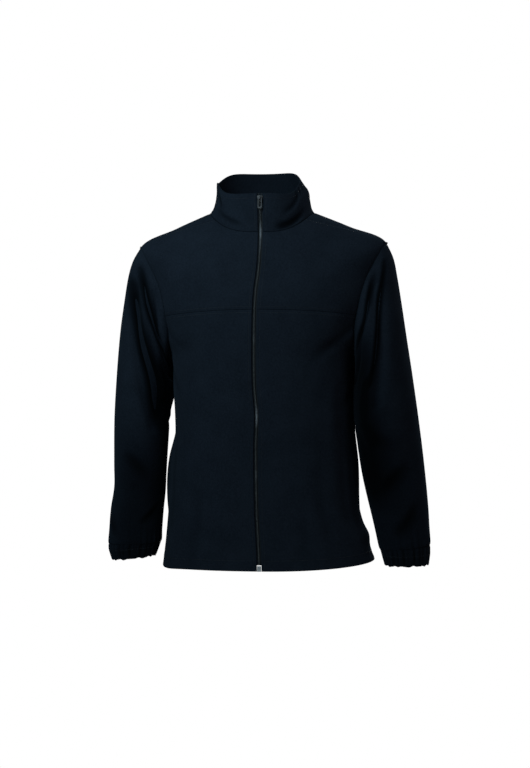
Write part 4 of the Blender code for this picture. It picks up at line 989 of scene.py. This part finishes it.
# ---------------------------------------------------------------- sleeves and cuffs
def sleeve_piece(word, side, folds, creases, join, angles, bare):
    """A sleeve from its armhole to the cuff seam."""
    dense = np.linspace(0.0, 1.0, 200)[:, None]
    walked = distances(bare(np.broadcast_to(dense, (200, len(angles)))))
    near, top, foot = NEAR_EDGE[:-1], seam_inset(CLOTH, join.shared), 0.5 * (CLOTH + SEAM_GAP)
    places, station = spaced(walked, dense, top, foot, near, near, SLEEVE_ROWS)
    from_foot = walked[-1] - places
    ring = bare(station)
    around = np.broadcast_to(angles, station.shape)
    folded = smooth_step(station / 0.04) * relief(folds, SLEEVE_UNROLLED, around, station)
    ring = ring + folded[..., None] * grid_normals(ring, -side, True)
    ring = drawn(ring, join.apart, places)
    from_armhole = smooth_step(places / 0.02)
    # painted shade: in and beside the widened creases, in a patch down the inner arm, and on the
    # forearm's side towards the body
    shaded = [crease._replace(width=1.6 * crease.width, ridge=0.0) for crease in creases]
    closed = crease_shade(1.2 * creased(shaded, SLEEVE_UNROLLED, around, station)) * from_armhole
    forearm = forearm_shade(word, around) * smooth_step((station - 0.45) / 0.35)
    nap = np.clip(closed + sleeve_shade_patch(SLEEVE_SHADE_PATCHES[word], around, station) + forearm, 0.0, 1.0)
    height = creased(creases, SLEEVE_UNROLLED, around, station)
    height *= from_armhole * smooth_step(from_foot / 0.012)
    height += seam_dip(places) + seam_dip(from_foot) + gathers_above(angles, from_foot, side)
    fleece(f"sleeve_{word}", ring, -side, height, closed=True, sewn="top foot", nap=nap)


CUFF_GATHERS = 14.0
GATHER, PUCKER, CUFF_UNEVEN = 0.0018, 0.0019, 0.0016  # depths of the cuff's small folds
NEAR_CUFF_EDGE = (0.0, 0.0006, 0.0014, 0.0025, 0.0040)
ShadePatch = namedtuple("ShadePatch", "angle reach start end share")
SLEEVE_SHADE_PATCHES = {  # painted shade in a patch down the inner arm, beside the side of the body
    "left": ShadePatch(140.0, 36.0, 0.00, 0.86, 0.95),
    "right": ShadePatch(150.0, 26.0, 0.10, 0.62, 0.45),
}
FOREARM_SHADE = {"left": 0.34, "right": 0.42}  # and how much painted shade lies on the forearm, on its side towards the body


def sleeve_shade_patch(painted_light, angle, station):
    """Painted shade in a patch down the sleeve."""
    along = within(station, painted_light.start, 0.2, painted_light.end, 0.15)
    return painted_light.share * bump(angle - painted_light.angle, painted_light.reach) * along


def forearm_shade(word, angle):
    """Painted shade on the forearm, darkest on the side towards the body and none along its outer
    line.
    """
    return FOREARM_SHADE[word] * smooth_step(np.abs(wrapped(angle)) / 95.0)


def gathers_above(angles, from_foot, side):
    """Small puckers where the sleeve is drawn into its cuff, each with its own reach and depth."""
    wave = ripples(angles * 0.01, 0.01 * 360.0 / (2.0 * CUFF_GATHERS), 0.5 + side)
    reach = 0.020 + 0.010 * ripples(angles, 63.0, 2.0 * side)
    return PUCKER * wave * bump(from_foot - 0.004, reach)


def cuff_piece(word, side, rows, first_ring, angles):
    """An elastic band that gathers the sleeve's end into uneven small folds."""
    places = np.arange(2 * len(angles)) * 0.5
    fine = at_places(np.concatenate((angles, [360.0]))[:, None], places)[:, 0]
    first = at_places(np.concatenate((first_ring, first_ring[:1])), places)
    own_shape = first - tube_points(rows, side, fine, 0.0)

    def bare(station):
        return tube_points(rows, side, fine, station) + own_shape * (1.0 - station)[..., None]

    dense = np.linspace(0.0, 1.0, 60)[:, None]
    walked = distances(bare(np.broadcast_to(dense, (60, len(fine)))))
    top, foot = 0.5 * (CLOTH + SEAM_GAP), 0.5 * CLOTH
    level, station = spaced(walked, dense, top, foot, NEAR_CUFF_EDGE, NEAR_CUFF_EDGE, CUFF_ROWS)
    from_foot = walked[-1] - level
    base = bare(station)
    held = np.sin(pi * np.clip(station, 0.0, 0.86)) ** 0.7
    height = GATHER * held * ripples(fine, 360.0 / (2.0 * CUFF_GATHERS), 0.5 + side)
    height += seam_dip(level) + stitch_groove(from_foot, CUFF_STITCHES)
    base = base + (0.6 * height)[..., None] * grid_normals(base, -side, True)
    uneven = ripples(fine, 360.0 / CUFF_GATHERS, 1.1 + side) * bump(from_foot, 0.010)
    base[..., 2] += CUFF_UNEVEN * uneven
    # painted shade in the bottom of the gathers, and on the side towards the body
    nap = 0.8 * crease_shade(height) + forearm_shade(word, fine)
    cloth = fleece(f"cuff_{word}", base, -side, 0.4 * height, closed=True, sewn="top", nap=nap)
    sew_across(cloth, from_foot, CUFF_STITCHES)


# ---------------------------------------------------------------- pocket bags
def pocket_piece(word):
    """The layer of a pocket that shows in its mouth."""
    side = POCKET_MOUTHS[word].side
    station = np.linspace(POCKET_BAG_TOP, POCKET_BAG_FOOT, 60)[:, None]
    width = POCKET_BAG_REACH * (SIDE_SEAM - zip_edge(BODY_RINGS, station))
    angle = side * (SIDE_SEAM - width * np.linspace(POCKET_BAG_FROM, 1.0, 40))
    drop = CLOTH + POCKET_BAG_DROP
    base = body_points(angle, station) - drop * body_normals(angle, station)
    fleece(f"pocket_{word}", base, -side, np.zeros(angle.shape), POCKET_CLOTH)


# ---------------------------------------------------------------- shaping by hand
ORIGIN = (0.0, 0.0, 0.0)


def begin(adding, **settings):
    """Add a primitive with nothing else selected, and go into edit mode on it."""
    if bpy.context.object is not None and bpy.context.object.mode == "EDIT":
        bpy.ops.object.mode_set(mode="OBJECT")
    bpy.ops.object.select_all(action="DESELECT")
    adding(**settings)
    bpy.ops.object.mode_set(mode="EDIT")
    return bpy.context.object


def pick(kind, test):
    """Select the vertices, edges or faces whose middle and direction pass a test."""
    chosen = ("VERT", "EDGE", "FACE").index(kind)
    bpy.context.tool_settings.mesh_select_mode = [index == chosen for index in range(3)]
    bpy.ops.mesh.select_all(action="DESELECT")
    work = bmesh.from_edit_mesh(bpy.context.object.data)
    for vertex in work.verts if kind == "VERT" else ():
        vertex.select_set(test(vertex.co))
    for edge in work.edges if kind == "EDGE" else ():
        first, second = (vertex.co for vertex in edge.verts)
        edge.select_set(test(0.5 * (first + second), (second - first).normalized()))
    for face in work.faces if kind == "FACE" else ():
        face.select_set(test(face.calc_center_median(), face.normal))
    bmesh.update_edit_mesh(bpy.context.object.data)


def moved(offset):
    bpy.ops.transform.translate(value=offset)


def scaled(x, y, z, middle=ORIGIN):
    bpy.ops.transform.resize(value=(x, y, z), center_override=middle)


def turned(angle, axis, middle=ORIGIN):
    bpy.ops.transform.rotate(value=angle, orient_axis=axis, center_override=middle)


def block(width, thickness, height, middle=ORIGIN):
    begin(bpy.ops.mesh.primitive_cube_add, size=1.0)
    scaled(width, thickness, height)
    moved(middle)


def wire(radius, vertices):
    begin(bpy.ops.mesh.primitive_circle_add, vertices=vertices, radius=radius, fill_type="NGON")


def wire_finished():
    """Back to object mode, with the drawn-out wire's faces turned outward."""
    bpy.ops.mesh.select_all(action="SELECT")
    bpy.ops.mesh.normals_make_consistent(inside=False)
    bpy.ops.object.mode_set(mode="OBJECT")
    return bpy.context.object


def soften(width, segments=3, sharper_than=30.0):
    """Back to object mode, with every sharp edge rounded."""
    bpy.ops.object.mode_set(mode="OBJECT")
    piece = bpy.context.object
    rounding = piece.modifiers.new("rounding", "BEVEL")
    rounding.width = width
    rounding.segments = segments
    rounding.limit_method = "ANGLE"
    rounding.angle_limit = radians(sharper_than)
    bpy.ops.object.modifier_apply(modifier=rounding.name)
    bpy.ops.object.shade_smooth_by_angle(angle=radians(38.0))
    return piece


def fixed_in_place(name, parts, frame):
    """Join parts into one piece, put it where it belongs and leave its origin at the frame's."""
    bpy.ops.object.select_all(action="DESELECT")
    for part in parts:
        part.select_set(True)
    bpy.context.view_layer.objects.active = piece = parts[0]
    if len(parts) > 1:
        bpy.ops.object.join()
    piece.name = piece.data.name = name
    bpy.ops.object.transform_apply(location=True, rotation=True, scale=True)
    piece.matrix_world = frame
    bpy.ops.object.transform_apply(location=True, rotation=True, scale=True)
    return piece


def copies_along(name, mould, middles, frames):
    """One mesh of a mould's copies, one for each place. The frames' columns are its own axes."""
    corners = np.array([vertex.co for vertex in mould.data.vertices])
    faces = [np.array(face.vertices) for face in mould.data.polygons]
    points = middles[:, None, :] + np.einsum("nij,kj->nki", frames, corners)
    starts = range(0, len(middles) * len(corners), len(corners))
    rings = [(face + start).tolist() for start in starts for face in faces]
    return mesh_piece(name, points.reshape(-1, 3), rings)


def evenly(path, pitch):
    """Places at an even pitch along a path, as numbers of its points and shares between them."""
    walked = distances(path)
    return np.interp(np.arange(0.5 * pitch, walked[-1], pitch), walked, np.arange(len(path)))


def at_places(values, places):
    return read_off(places[:, None], np.arange(len(values))[:, None], values)


# ---------------------------------------------------------------- stitches
def stitch_mould():
    """One stitch: thread that comes up out of the nap and goes down again."""
    begin(bpy.ops.mesh.primitive_uv_sphere_add, segments=6, ring_count=5, radius=1.0)
    turned(0.5 * pi, "Y")
    scaled(0.5 * STITCH_LENGTH, THREAD, THREAD)
    bpy.ops.object.mode_set(mode="OBJECT")
    return bpy.context.object


def stitched(name, lines, mould):
    """The stitches of one piece of cloth."""
    middles, frames = [], []
    for path, outward in lines:
        places = evenly(path, STITCH_PITCH)
        ahead = at_places(path, places + 0.3) - at_places(path, places - 0.3)
        up = unit(at_places(outward, places))
        ahead = unit(ahead - up * np.sum(ahead * up, axis=-1, keepdims=True))
        middles.append(at_places(path, places) + 0.25 * THREAD * up)
        frames.append(np.stack((ahead, np.cross(up, ahead), up), axis=-1))
    piece = copies_along(name, mould, np.concatenate(middles), np.concatenate(frames))
    dressed(piece, THREAD_FINISH, "fleece")


# ---------------------------------------------------------------- zip
def front_places(rings, station, across):
    """Points of the centre front, in rows of stations and columns of distances across the zip."""
    ring = row_at(rings, station)
    share = np.abs(across) / ring.half_width_left
    angle = np.sign(across) * np.degrees(np.arcsin(share ** (ring.roundness / 2.0)))
    points = ring_points(rings, angle, station)
    points[..., 0] = ring_points(rings, 0.0 * angle, station)[..., 0] + across
    return points


def zip_stations(top, foot, collar_count):
    """Stations from a collar station down to a body station, with the rings they belong to."""
    collar, body = np.linspace(top, 0.0, collar_count)[:-1], np.linspace(0.0, foot, 260)
    return (COLLAR_RINGS, collar[:, None]), (BODY_RINGS, body[:, None])


def zip_path(top, foot):
    """The centre line, the way it faces, and the way across it."""
    middle = np.zeros((1, 1))
    points = [front_places(*stations, middle)[:, 0] for stations in zip_stations(top, foot, 40)]
    points = np.concatenate(points)
    ahead = unit(np.gradient(points, axis=0))
    across = unit(np.array([1.0, 0.0, 0.0]) - ahead * ahead[:, :1])
    return points, unit(np.cross(ahead, across)), across


def tape_piece(word, side):
    """A woven tape, narrow between the collar's edges and wide behind the fronts."""
    half = 0.5 * TAPE_CLOTH
    share = np.linspace(0.0, 1.0, 10)
    sheets = []
    for rings, station in zip_stations(ZIP_TOP, TAPE_FOOT, 50):
        on_collar = rings is COLLAR_RINGS
        wide = 0.0 * station if on_collar else smooth_step((station - TAPE_NARROWS) / 0.02)
        outer = TAPE_HALF_WIDTH_AT_COLLAR + wide * (TAPE_HALF_WIDTH - TAPE_HALF_WIDTH_AT_COLLAR)
        opened = smooth_step((station - TAPE_OPENS) / 0.03) if on_collar else 0.0 * station
        inner = 0.5 * SEAM_GAP + half + opened * (0.5 * SLIDER_POST_WIDTH - half + 0.0002)
        inner = np.minimum(inner, outer - TAPE_SHOWS)
        sheets.append(front_places(rings, station, side * (inner + (outer - inner) * share)))
    base = np.concatenate(sheets)
    outward = grid_normals(base, side)
    base = base - TAPE_DEPTH * outward
    name, flat = f"zip_tape_{word}", np.zeros(base.shape[:2])
    cloth = cloth_piece(f"{name}_woven", base, outward, flat, TAPE_CLOTH)
    dressed(cloth.piece, TAPE_FINISH, "zip_tape", name)


def tooth_mould():
    """One turn of the coil: wire that rises from the tape, crosses in a broad head and dips."""
    # How far the wire's middle goes next across and out, its turn in degrees, and its breadth.
    steps = (
        (-0.00016, 0.00046, 35.0, 1.0),
        (-0.00062, 0.00030, 30.0, 1.0),
        (-0.00120, 0.00000, 10.0, 1.0),
        (-0.00080, -0.00002, 6.0, 1.25),
        (-0.00042, -0.00014, 30.0, 1.15),
        (-0.00016, -0.00046, 30.0, 0.75),
    )
    wire(COIL_WIRE, 6)
    middle = Vector((COIL_HALF_WIDTH - COIL_WIRE, 0.0, 0.0))
    moved(middle)
    for across, out, turn, breadth in steps:
        bpy.ops.mesh.extrude_region_move(TRANSFORM_OT_translate={"value": (across, 0.0, out)})
        middle += Vector((across, 0.0, out))
        turned(radians(turn), "Y", middle)
        scaled(1.0, breadth, 1.0, middle)
    return wire_finished()


def coil_pieces():
    """Both halves of the closed coil, their turns half a pitch apart."""
    path, outward, across = zip_path(SLIDER_STATION - COIL_BELOW_SLIDER, TAPE_FOOT)
    mould = tooth_mould()
    even = evenly(path, TOOTH_PITCH)
    step = np.interp(even, np.arange(len(path) - 1) + 0.5, length_of(np.diff(path, axis=0)))
    for word, (side, *_) in SLEEVES.items():
        places = even + 0.25 * side * TOOTH_PITCH / step
        up, along = unit(at_places(outward, places)), side * unit(at_places(across, places))
        middles = at_places(path, places) - (TAPE_DEPTH + COIL_SINKS) * up
        frames = np.stack((along, np.cross(up, along), up), axis=-1)
        half = copies_along(f"coil_{word}_turns", mould, middles, frames)
        dressed(half, COIL_FINISH, "zip_coil", "zip_coil")
    bpy.data.objects.remove(mould)


def slider_frame():
    """The slider's own frame: X across, Y into the jacket, Z up the zip, from the cloth."""
    stations, middle = SLIDER_STATION + np.array([[-0.006], [0.0], [0.006]]), np.zeros((1, 1))
    below, place, above = front_places(COLLAR_RINGS, stations, middle)[:, 0]
    up = Vector((0.0, *(above - below)[1:])).normalized()
    across = Vector((1.0, 0.0, 0.0))
    turn = Matrix((across, up.cross(across), up)).transposed().to_4x4()
    return Matrix.Translation(Vector(place)) @ turn


def shield(top_width, foot_width, near):
    """A plate of the slider: wide shoulders, and sides that draw in to a round foot."""
    half = 0.5 * SLIDER_LENGTH
    block(top_width, SLIDER_PLATE, SLIDER_LENGTH, (0.0, near + 0.5 * SLIDER_PLATE, 0.0))
    pick("EDGE", lambda middle, along: abs(along.z) > 0.9)
    bpy.ops.mesh.subdivide(number_cuts=5)
    pick("VERT", lambda place: place.z < 0.35 * half)
    scaled(SLIDER_WAIST, 1.0, 1.0)
    pick("VERT", lambda place: place.z < -0.1 * half)
    scaled(foot_width / top_width / SLIDER_WAIST, 1.0, 1.0)
    pick("EDGE", lambda middle, along: abs(along.y) > 0.9 and abs(middle.z) > 0.9 * half)
    bpy.ops.mesh.bevel(offset=SLIDER_CORNER, segments=5)
    return soften(0.00032)


def crown():
    """The arch that holds the pull: a bar drawn out, over and back down."""
    face = -SLIDER_PROUD - SLIDER_PLATE
    half, rise = 0.5 * (CROWN_LENGTH - CROWN_BAR), CROWN_INSIDE + 0.5 * CROWN_BAR
    turns = np.radians(np.linspace(0.0, 180.0, 15))
    out, up = rise * bow(np.sin(turns), CROWN_ROUND), half * bow(np.cos(turns), CROWN_ROUND)
    rooted = face + 0.5 * SLIDER_PLATE
    arch = zip([rooted, *(face - out), rooted], [half, *up, -half])
    spots = [Vector((0.0, y, z)) for y, z in arch]
    wire(0.5 * CROWN_BAR, 12)
    scaled(CROWN_WIDTH / CROWN_BAR, 1.0, 1.0)
    turned(0.5 * pi, "X")
    moved(spots[0])
    heading = Vector((0.0, -1.0, 0.0))
    for before, here, after in zip(spots[:-1], spots[1:], [*spots[2:], spots[-1]]):
        bpy.ops.mesh.extrude_region_move(TRANSFORM_OT_translate={"value": here - before})
        new = (after - before).normalized()
        turned(-np.arcsin(heading.cross(new).x), "X", here)
        heading = new
    piece = wire_finished()
    bpy.ops.object.shade_smooth_by_angle(angle=radians(50.0))
    return piece


def slider_piece():
    """The slider: two plates, the post between them and the arch."""
    plates = (
        shield(SLIDER_TOP_WIDTH, SLIDER_FOOT_WIDTH, -SLIDER_PROUD - SLIDER_PLATE),
        shield(SLIDER_TOP_WIDTH - 0.0014, SLIDER_FOOT_WIDTH - 0.0006, SLIDER_BACK_DEPTH),
    )
    depth = SLIDER_BACK_DEPTH + SLIDER_PROUD
    begin(bpy.ops.mesh.primitive_cylinder_add, vertices=24, radius=0.5, depth=depth)
    scaled(SLIDER_POST_WIDTH, SLIDER_POST_LENGTH, 1.0)
    turned(0.5 * pi, "X")
    top = 0.5 * SLIDER_LENGTH - 0.0012
    moved((0.0, 0.5 * (SLIDER_BACK_DEPTH - SLIDER_PROUD), top - 0.5 * SLIDER_POST_LENGTH))
    post = soften(0.0001, 1)
    piece = fixed_in_place("slider_body", [*plates, post, crown()], slider_frame())
    dressed(piece, SLIDER_FINISH, "slider", "zip_slider")


def pull_piece():
    """A flat tab with a long slot, hung on the crown by its top bar."""
    top, rim = 0.5 * PULL_EYE_BAR, PULL_WIDTH - PULL_SLOT_WIDTH
    middle = (0.0, 0.0, top - 0.5 * PULL_LENGTH)
    block(PULL_WIDTH, PULL_THICKNESS, PULL_LENGTH, middle)
    pick("EDGE", lambda place, along: abs(along.y) > 0.9)
    bpy.ops.mesh.bevel(offset=PULL_CORNER, segments=7)
    pick("FACE", lambda place, normal: abs(normal.y) > 0.9)
    bpy.ops.mesh.inset(thickness=0.5 * rim)
    scaled(1.0, 1.0, PULL_SLOT_LENGTH / (PULL_LENGTH - rim), middle)
    slot_middle = top - PULL_EYE_BAR - 0.5 * PULL_SLOT_LENGTH
    moved((0.0, 0.0, slot_middle - middle[2]))
    bpy.ops.mesh.bridge_edge_loops()
    piece = soften(0.00028)
    axis_out = SLIDER_PROUD + SLIDER_PLATE + 0.5 * CROWN_INSIDE
    frame = slider_frame() @ Matrix.Translation((0.0, -axis_out, 0.0))
    piece = fixed_in_place("pull_tab_slotted", [piece], frame)
    dressed(piece, SLIDER_FINISH, "slider", "zip_pull", body="pull_tab")


def box_piece():
    """The metal box at the zip's foot, its rim raised round both faces."""
    points, outward, _ = zip_path(0.1, 1.0)
    foot, out = Vector(points[-1]), Vector(outward[-1])
    middle = foot - out * (0.5 * BOX_THICKNESS - BOX_PROUD)
    middle.z = foot.z + 0.5 * BOX_HEIGHT
    block(BOX_WIDTH, BOX_THICKNESS, BOX_HEIGHT)
    pick("FACE", lambda place, normal: abs(normal.y) > 0.9)
    bpy.ops.mesh.inset(thickness=BOX_RIM)
    scaled(1.0, BOX_SUNK, 1.0)
    piece = soften(0.00035, 4)
    piece = fixed_in_place("bottom_box_bright", [piece], Matrix.Translation(middle))
    dressed(piece, BOX_FINISH, "box_metal", "zip_box")


# ---------------------------------------------------------------- finishes
class Value:
    """A node's output. An expression on such values adds the Math nodes that work it out."""

    def __init__(self, finish, socket):
        self.finish = finish
        self.socket = socket

    def math(self, operation, *values):
        return self.finish.node("ShaderNodeMath", {"operation": operation}, dict(enumerate(values)))

    def __add__(self, other):
        return self.math("ADD", self, other)

    def __sub__(self, other):
        return self.math("SUBTRACT", self, other)

    def __rsub__(self, other):
        return self.math("SUBTRACT", other, self)

    def __mul__(self, other):
        return self.math("MULTIPLY", self, other)

    def __pow__(self, other):
        return self.math("POWER", self, other)

    __radd__ = __add__
    __rmul__ = __mul__

    def near(self, middle, reach):
        """1 at the middle, fading to nothing beyond the reach."""
        offset = (self - middle) * (1.0 / reach)
        return self.math("EXPONENT", offset * offset * -1.0)

    def sine(self):
        return self.math("SINE", self)

    def clamped(self):
        return self.finish.node("ShaderNodeClamp", {}, {"Value": self})


class Finish:
    """A material with one Principled shader, its constants, and what varies over the surface."""

    def __init__(self, name, **constants):
        self.material = bpy.data.materials.new(name)
        self.material.use_nodes = True
        self.tree = self.material.node_tree
        self.shader = self.tree.nodes["Principled BSDF"]
        for socket, value in constants.items():
            self.shader.inputs[socket.replace("_", " ")].default_value = value

    def node(self, kind, settings, inputs, output=0):
        node = self.tree.nodes.new(kind)
        for setting, value in settings.items():
            setattr(node, setting, value)
        for socket, value in inputs.items():
            if isinstance(value, Value):
                self.tree.links.new(value.socket, node.inputs[socket])
            else:
                node.inputs[socket].default_value = value
        return Value(self, node.outputs[output])

    def feed(self, socket, value):
        self.tree.links.new(value.socket, self.shader.inputs[socket])

    def place(self):
        return self.node("ShaderNodeTexCoord", {}, {}, "Object")

    def axis(self, name):
        return self.node("ShaderNodeSeparateXYZ", {}, {0: self.place()}, name)

    def noise(self, scale, detail, roughness=0.5):
        inputs = {"Vector": self.place(), "Scale": scale, "Detail": detail, "Roughness": roughness}
        return self.node("ShaderNodeTexNoise", {}, inputs, "Fac")

    def value_of(self, name):
        """An amount that the cloth's own points carry."""
        return self.node("ShaderNodeAttribute", {"attribute_name": name}, {}, "Fac")

    def mixed(self, share, first, second):
        first = first if isinstance(first, Value) else (*first, 1.0)
        inputs = {0: share, 6: first, 7: (*second, 1.0)}
        return self.node("ShaderNodeMix", {"data_type": "RGBA"}, inputs, 2)

    def colour(self, share, first, second):
        self.feed("Base Color", self.mixed(share, first, second))

    def bump(self, height, distance, strength=1.0):
        inputs = {"Height": height, "Distance": distance, "Strength": strength}
        self.feed("Normal", self.node("ShaderNodeBump", {}, inputs))


def fleece_finish():
    """Brushed navy fleece: dense short pile in small clumps, paler at the tips, darkened by the
    painted shade that its points carry.
    """
    finish = Finish(
        "navy_fleece",
        Roughness=0.95,
        Specular_IOR_Level=0.0,
        Sheen_Weight=0.02,
        Sheen_Roughness=0.45,
        Sheen_Tint=(0.55, 0.75, 1.0, 1.0),
    )
    pile = finish.noise(1500.0, 3.0, 0.6)
    clumps = finish.noise(330.0, 2.0, 0.55)
    wear = finish.noise(24.0, 2.0)
    tips = (pile * 0.5 + clumps * 0.9 + wear * 0.5 - 0.45).clamped()
    # painted shade carried by the cloth's points: it dims the paler tips and darkens the pile to
    # near-black navy
    painted_shade_share = finish.value_of("nap")
    unshaded_share = 1.0 - painted_shade_share * 0.9
    tips = (tips * unshaded_share - (1.0 - unshaded_share) * 0.7).clamped()
    brushed = finish.mixed(tips, (0.0044, 0.0061, 0.0092), (0.0118, 0.0163, 0.0245))
    finish.colour(painted_shade_share, brushed, (0.0012, 0.0016, 0.0020))
    finish.bump(pile * 0.35 + clumps * 0.65, 0.0009, 0.5)
    return finish.material


def thread_finish():
    """Twisted polyester thread, a shade lighter than the cloth."""
    finish = Finish("navy_thread", Roughness=0.6, Specular_IOR_Level=0.25)
    twist = (finish.axis("Z") * 9000.0 + finish.axis("X") * 9000.0).sine() * 0.5 + 0.5
    finish.colour(twist, (0.0056, 0.0076, 0.0108), (0.0100, 0.0132, 0.0185))
    finish.bump(twist, 0.0001, 0.5)
    return finish.material


def tape_finish():
    """Close twill of the zip tape."""
    finish = Finish("zip_tape_twill", Roughness=0.8, Specular_IOR_Level=0.15)
    across, up = finish.axis("X"), finish.axis("Z")
    rib = ((across + up * 0.5) * 7800.0).sine() * (up * 11000.0).sine() * 0.5 + 0.5
    shade = (rib * 0.6 + finish.noise(300.0, 2.0) * 0.5).clamped()
    finish.colour(shade, (0.0030, 0.0045, 0.0068), (0.0090, 0.0125, 0.0175))
    finish.bump(rib, 0.00012, 0.6)
    return finish.material


# height, half length and strength of the painted highlights on the coil
COIL_PAINTED_GLINTS = ((-0.046, 0.018, 0.9), (-0.388, 0.018, 0.9), (-0.497, 0.012, 0.45))


def coil_finish():
    """Nylon wire, dark and a little glossy, with painted highlights in stretches along it, where it is
    also less rough.
    """
    finish = Finish("zip_coil_nylon", Specular_IOR_Level=0.42)
    height = finish.axis("Z")
    # painted highlights: paler colour in random stretches and at the listed heights
    painted_light = (finish.noise(42.0, 3.0, 0.65) - 0.58) * 1.6
    for middle, reach, strength in COIL_PAINTED_GLINTS:
        painted_light = painted_light + height.near(middle, reach) * strength
    painted_light = (painted_light * (finish.noise(420.0, 2.0) + 0.5)).clamped()
    finish.colour(painted_light, (0.0046, 0.0056, 0.0072), (0.13, 0.14, 0.16))
    finish.feed("Roughness", painted_light * -0.16 + 0.42)
    return finish.material


def slider_finish():
    """Enamelled metal, worn to a paler grey in small patches."""
    finish = Finish("slider_enamel", Metallic=0.5, Specular_IOR_Level=0.35)
    wear = ((finish.noise(900.0, 4.0, 0.65) - 0.45) * 3.0).clamped()
    scratches = finish.noise(2600.0, 2.0)
    finish.colour(wear, (0.018, 0.018, 0.021), (0.075, 0.072, 0.074))
    finish.feed("Roughness", scratches * 0.22 + 0.34)
    finish.bump(scratches, 0.00004, 0.4)
    return finish.material


def box_finish():
    """Bright nickel plate with fine rubbing marks."""
    finish = Finish("bright_nickel", Metallic=0.65)
    marks = finish.noise(3000.0, 3.0, 0.6)
    finish.colour(marks, (0.40, 0.41, 0.43), (0.62, 0.63, 0.65))
    finish.feed("Roughness", marks * 0.25 + 0.35)
    finish.bump(marks, 0.00003, 0.4)
    return finish.material


FLEECE = fleece_finish()
THREAD_FINISH = thread_finish()
TAPE_FINISH = tape_finish()
COIL_FINISH = coil_finish()
SLIDER_FINISH = slider_finish()
BOX_FINISH = box_finish()


SLEEVES = {
    "left": (1, SLEEVE_LEFT, SLEEVE_LEFT_FOLDS, SLEEVE_LEFT_CREASES, CUFF_LEFT),
    "right": (-1, SLEEVE_RIGHT, SLEEVE_RIGHT_FOLDS, SLEEVE_RIGHT_CREASES, CUFF_RIGHT),
}
joins = {}
for word, (side, rows, folds, creases, cuff_rows) in SLEEVES.items():
    seam, body_side = armhole_seam(side)
    angles = column_angles(seam)
    bare = sleeve_surface(side, rows, seam, angles)
    joins[side] = armhole_join(side, seam, body_side, bare)
    sleeve_piece(word, side, folds, creases, joins[side], angles, bare)
    cuff_piece(word, side, cuff_rows, bare(np.full(len(seam), 1.0)), angles)
    for part in ("upper", "lower"):
        front_piece(word, part, joins[side])
    pocket_piece(word)
back_piece(joins)
collar_piece()
mould = stitch_mould()
for name, lines in SEWN.items():
    stitched(name.replace("fleece", "stitches"), lines, mould)
bpy.data.objects.remove(mould)
for word, (side, *_) in SLEEVES.items():
    tape_piece(word, side)
coil_pieces()
slider_piece()
pull_piece()
box_piece()

# ---------------------------------------------------------------- camera, light and surroundings
scene = bpy.context.scene
scene.view_settings.view_transform = "Standard"

CAMERA_TURN = radians(4.5)
CAMERA_AWAY = 2.6
CAMERA_ASIDE = 0.0049
CAMERA_LENS, CAMERA_SENSOR = 62.81, 36.0  # in millimetres
MIDDLE_HEIGHT = -0.33
FLOOR_HEIGHT = -1.45  # where a standing wearer's feet would be
FLOOR_RADIUS, FLOOR_THICKNESS = 1.2, 0.02
SURROUNDING_LIGHT = 0.07


def camera_at_the_front():
    data = bpy.data.cameras.new("camera")
    data.sensor_width = CAMERA_SENSOR
    data.lens = CAMERA_LENS
    camera = bpy.data.objects.new("camera", data)
    scene.collection.objects.link(camera)
    across, ahead = cos(CAMERA_TURN), sin(CAMERA_TURN)
    camera.location = (
        CAMERA_ASIDE * across + CAMERA_AWAY * ahead,
        CAMERA_ASIDE * ahead - CAMERA_AWAY * across,
        MIDDLE_HEIGHT,
    )
    camera.rotation_euler = (0.5 * pi, 0.0, CAMERA_TURN)
    scene.camera = camera


def soft_light(name, place, size, energy, colour=(1.0, 1.0, 1.0)):
    data = bpy.data.lights.new(name, "AREA")
    data.size = size
    data.energy = energy
    data.color = colour
    light = bpy.data.objects.new(name, data)
    light.visible_camera = False
    scene.collection.objects.link(light)
    light.location = place
    away = Vector((0.0, 0.0, MIDDLE_HEIGHT)) - light.location
    light.rotation_euler = away.to_track_quat("-Z", "Y").to_euler()


def pale_surroundings(brightness):
    """White to look at, dimmer as a light."""
    world = bpy.data.worlds.new("studio")
    scene.world = world
    world.use_nodes = True
    tree = world.node_tree
    seen = tree.nodes.new("ShaderNodeLightPath").outputs["Is Camera Ray"]
    mix = tree.nodes.new("ShaderNodeMix")
    tree.links.new(seen, mix.inputs[0])
    mix.inputs[2].default_value = brightness
    mix.inputs[3].default_value = 1.0
    background = tree.nodes["Background"]
    background.inputs["Color"].default_value = (1.0, 1.0, 1.0, 1.0)
    tree.links.new(mix.outputs[0], background.inputs["Strength"])


def pale_floor():
    middle = (0.0, 0.0, FLOOR_HEIGHT - 0.5 * FLOOR_THICKNESS)
    bpy.ops.mesh.primitive_cylinder_add(
        vertices=96, radius=FLOOR_RADIUS, depth=FLOOR_THICKNESS, location=middle
    )
    floor = bpy.context.object
    floor.name = "floor"
    finish = Finish("pale_floor", Roughness=0.8)
    tone = finish.noise(3.0, 2.0)
    finish.colour(tone, (0.78, 0.78, 0.78), (0.84, 0.84, 0.84))
    floor.data.materials.append(finish.material)


# ---------------------------------------------------------------- fields for a cut of cloth, then the camera, lights and floor put in place
Cut = namedtuple("Cut", "width length area held")

camera_at_the_front()
soft_light("key", (-0.56, -0.92, 0.5), 0.8, 15.5, (0.70, 0.93, 1.0))
soft_light("fill", (2.2, -1.4, 0.8), 1.6, 10.0)
soft_light("back", (1.4, 2.4, 1.3), 1.4, 60.0)
pale_surroundings(SURROUNDING_LIGHT)
pale_floor()
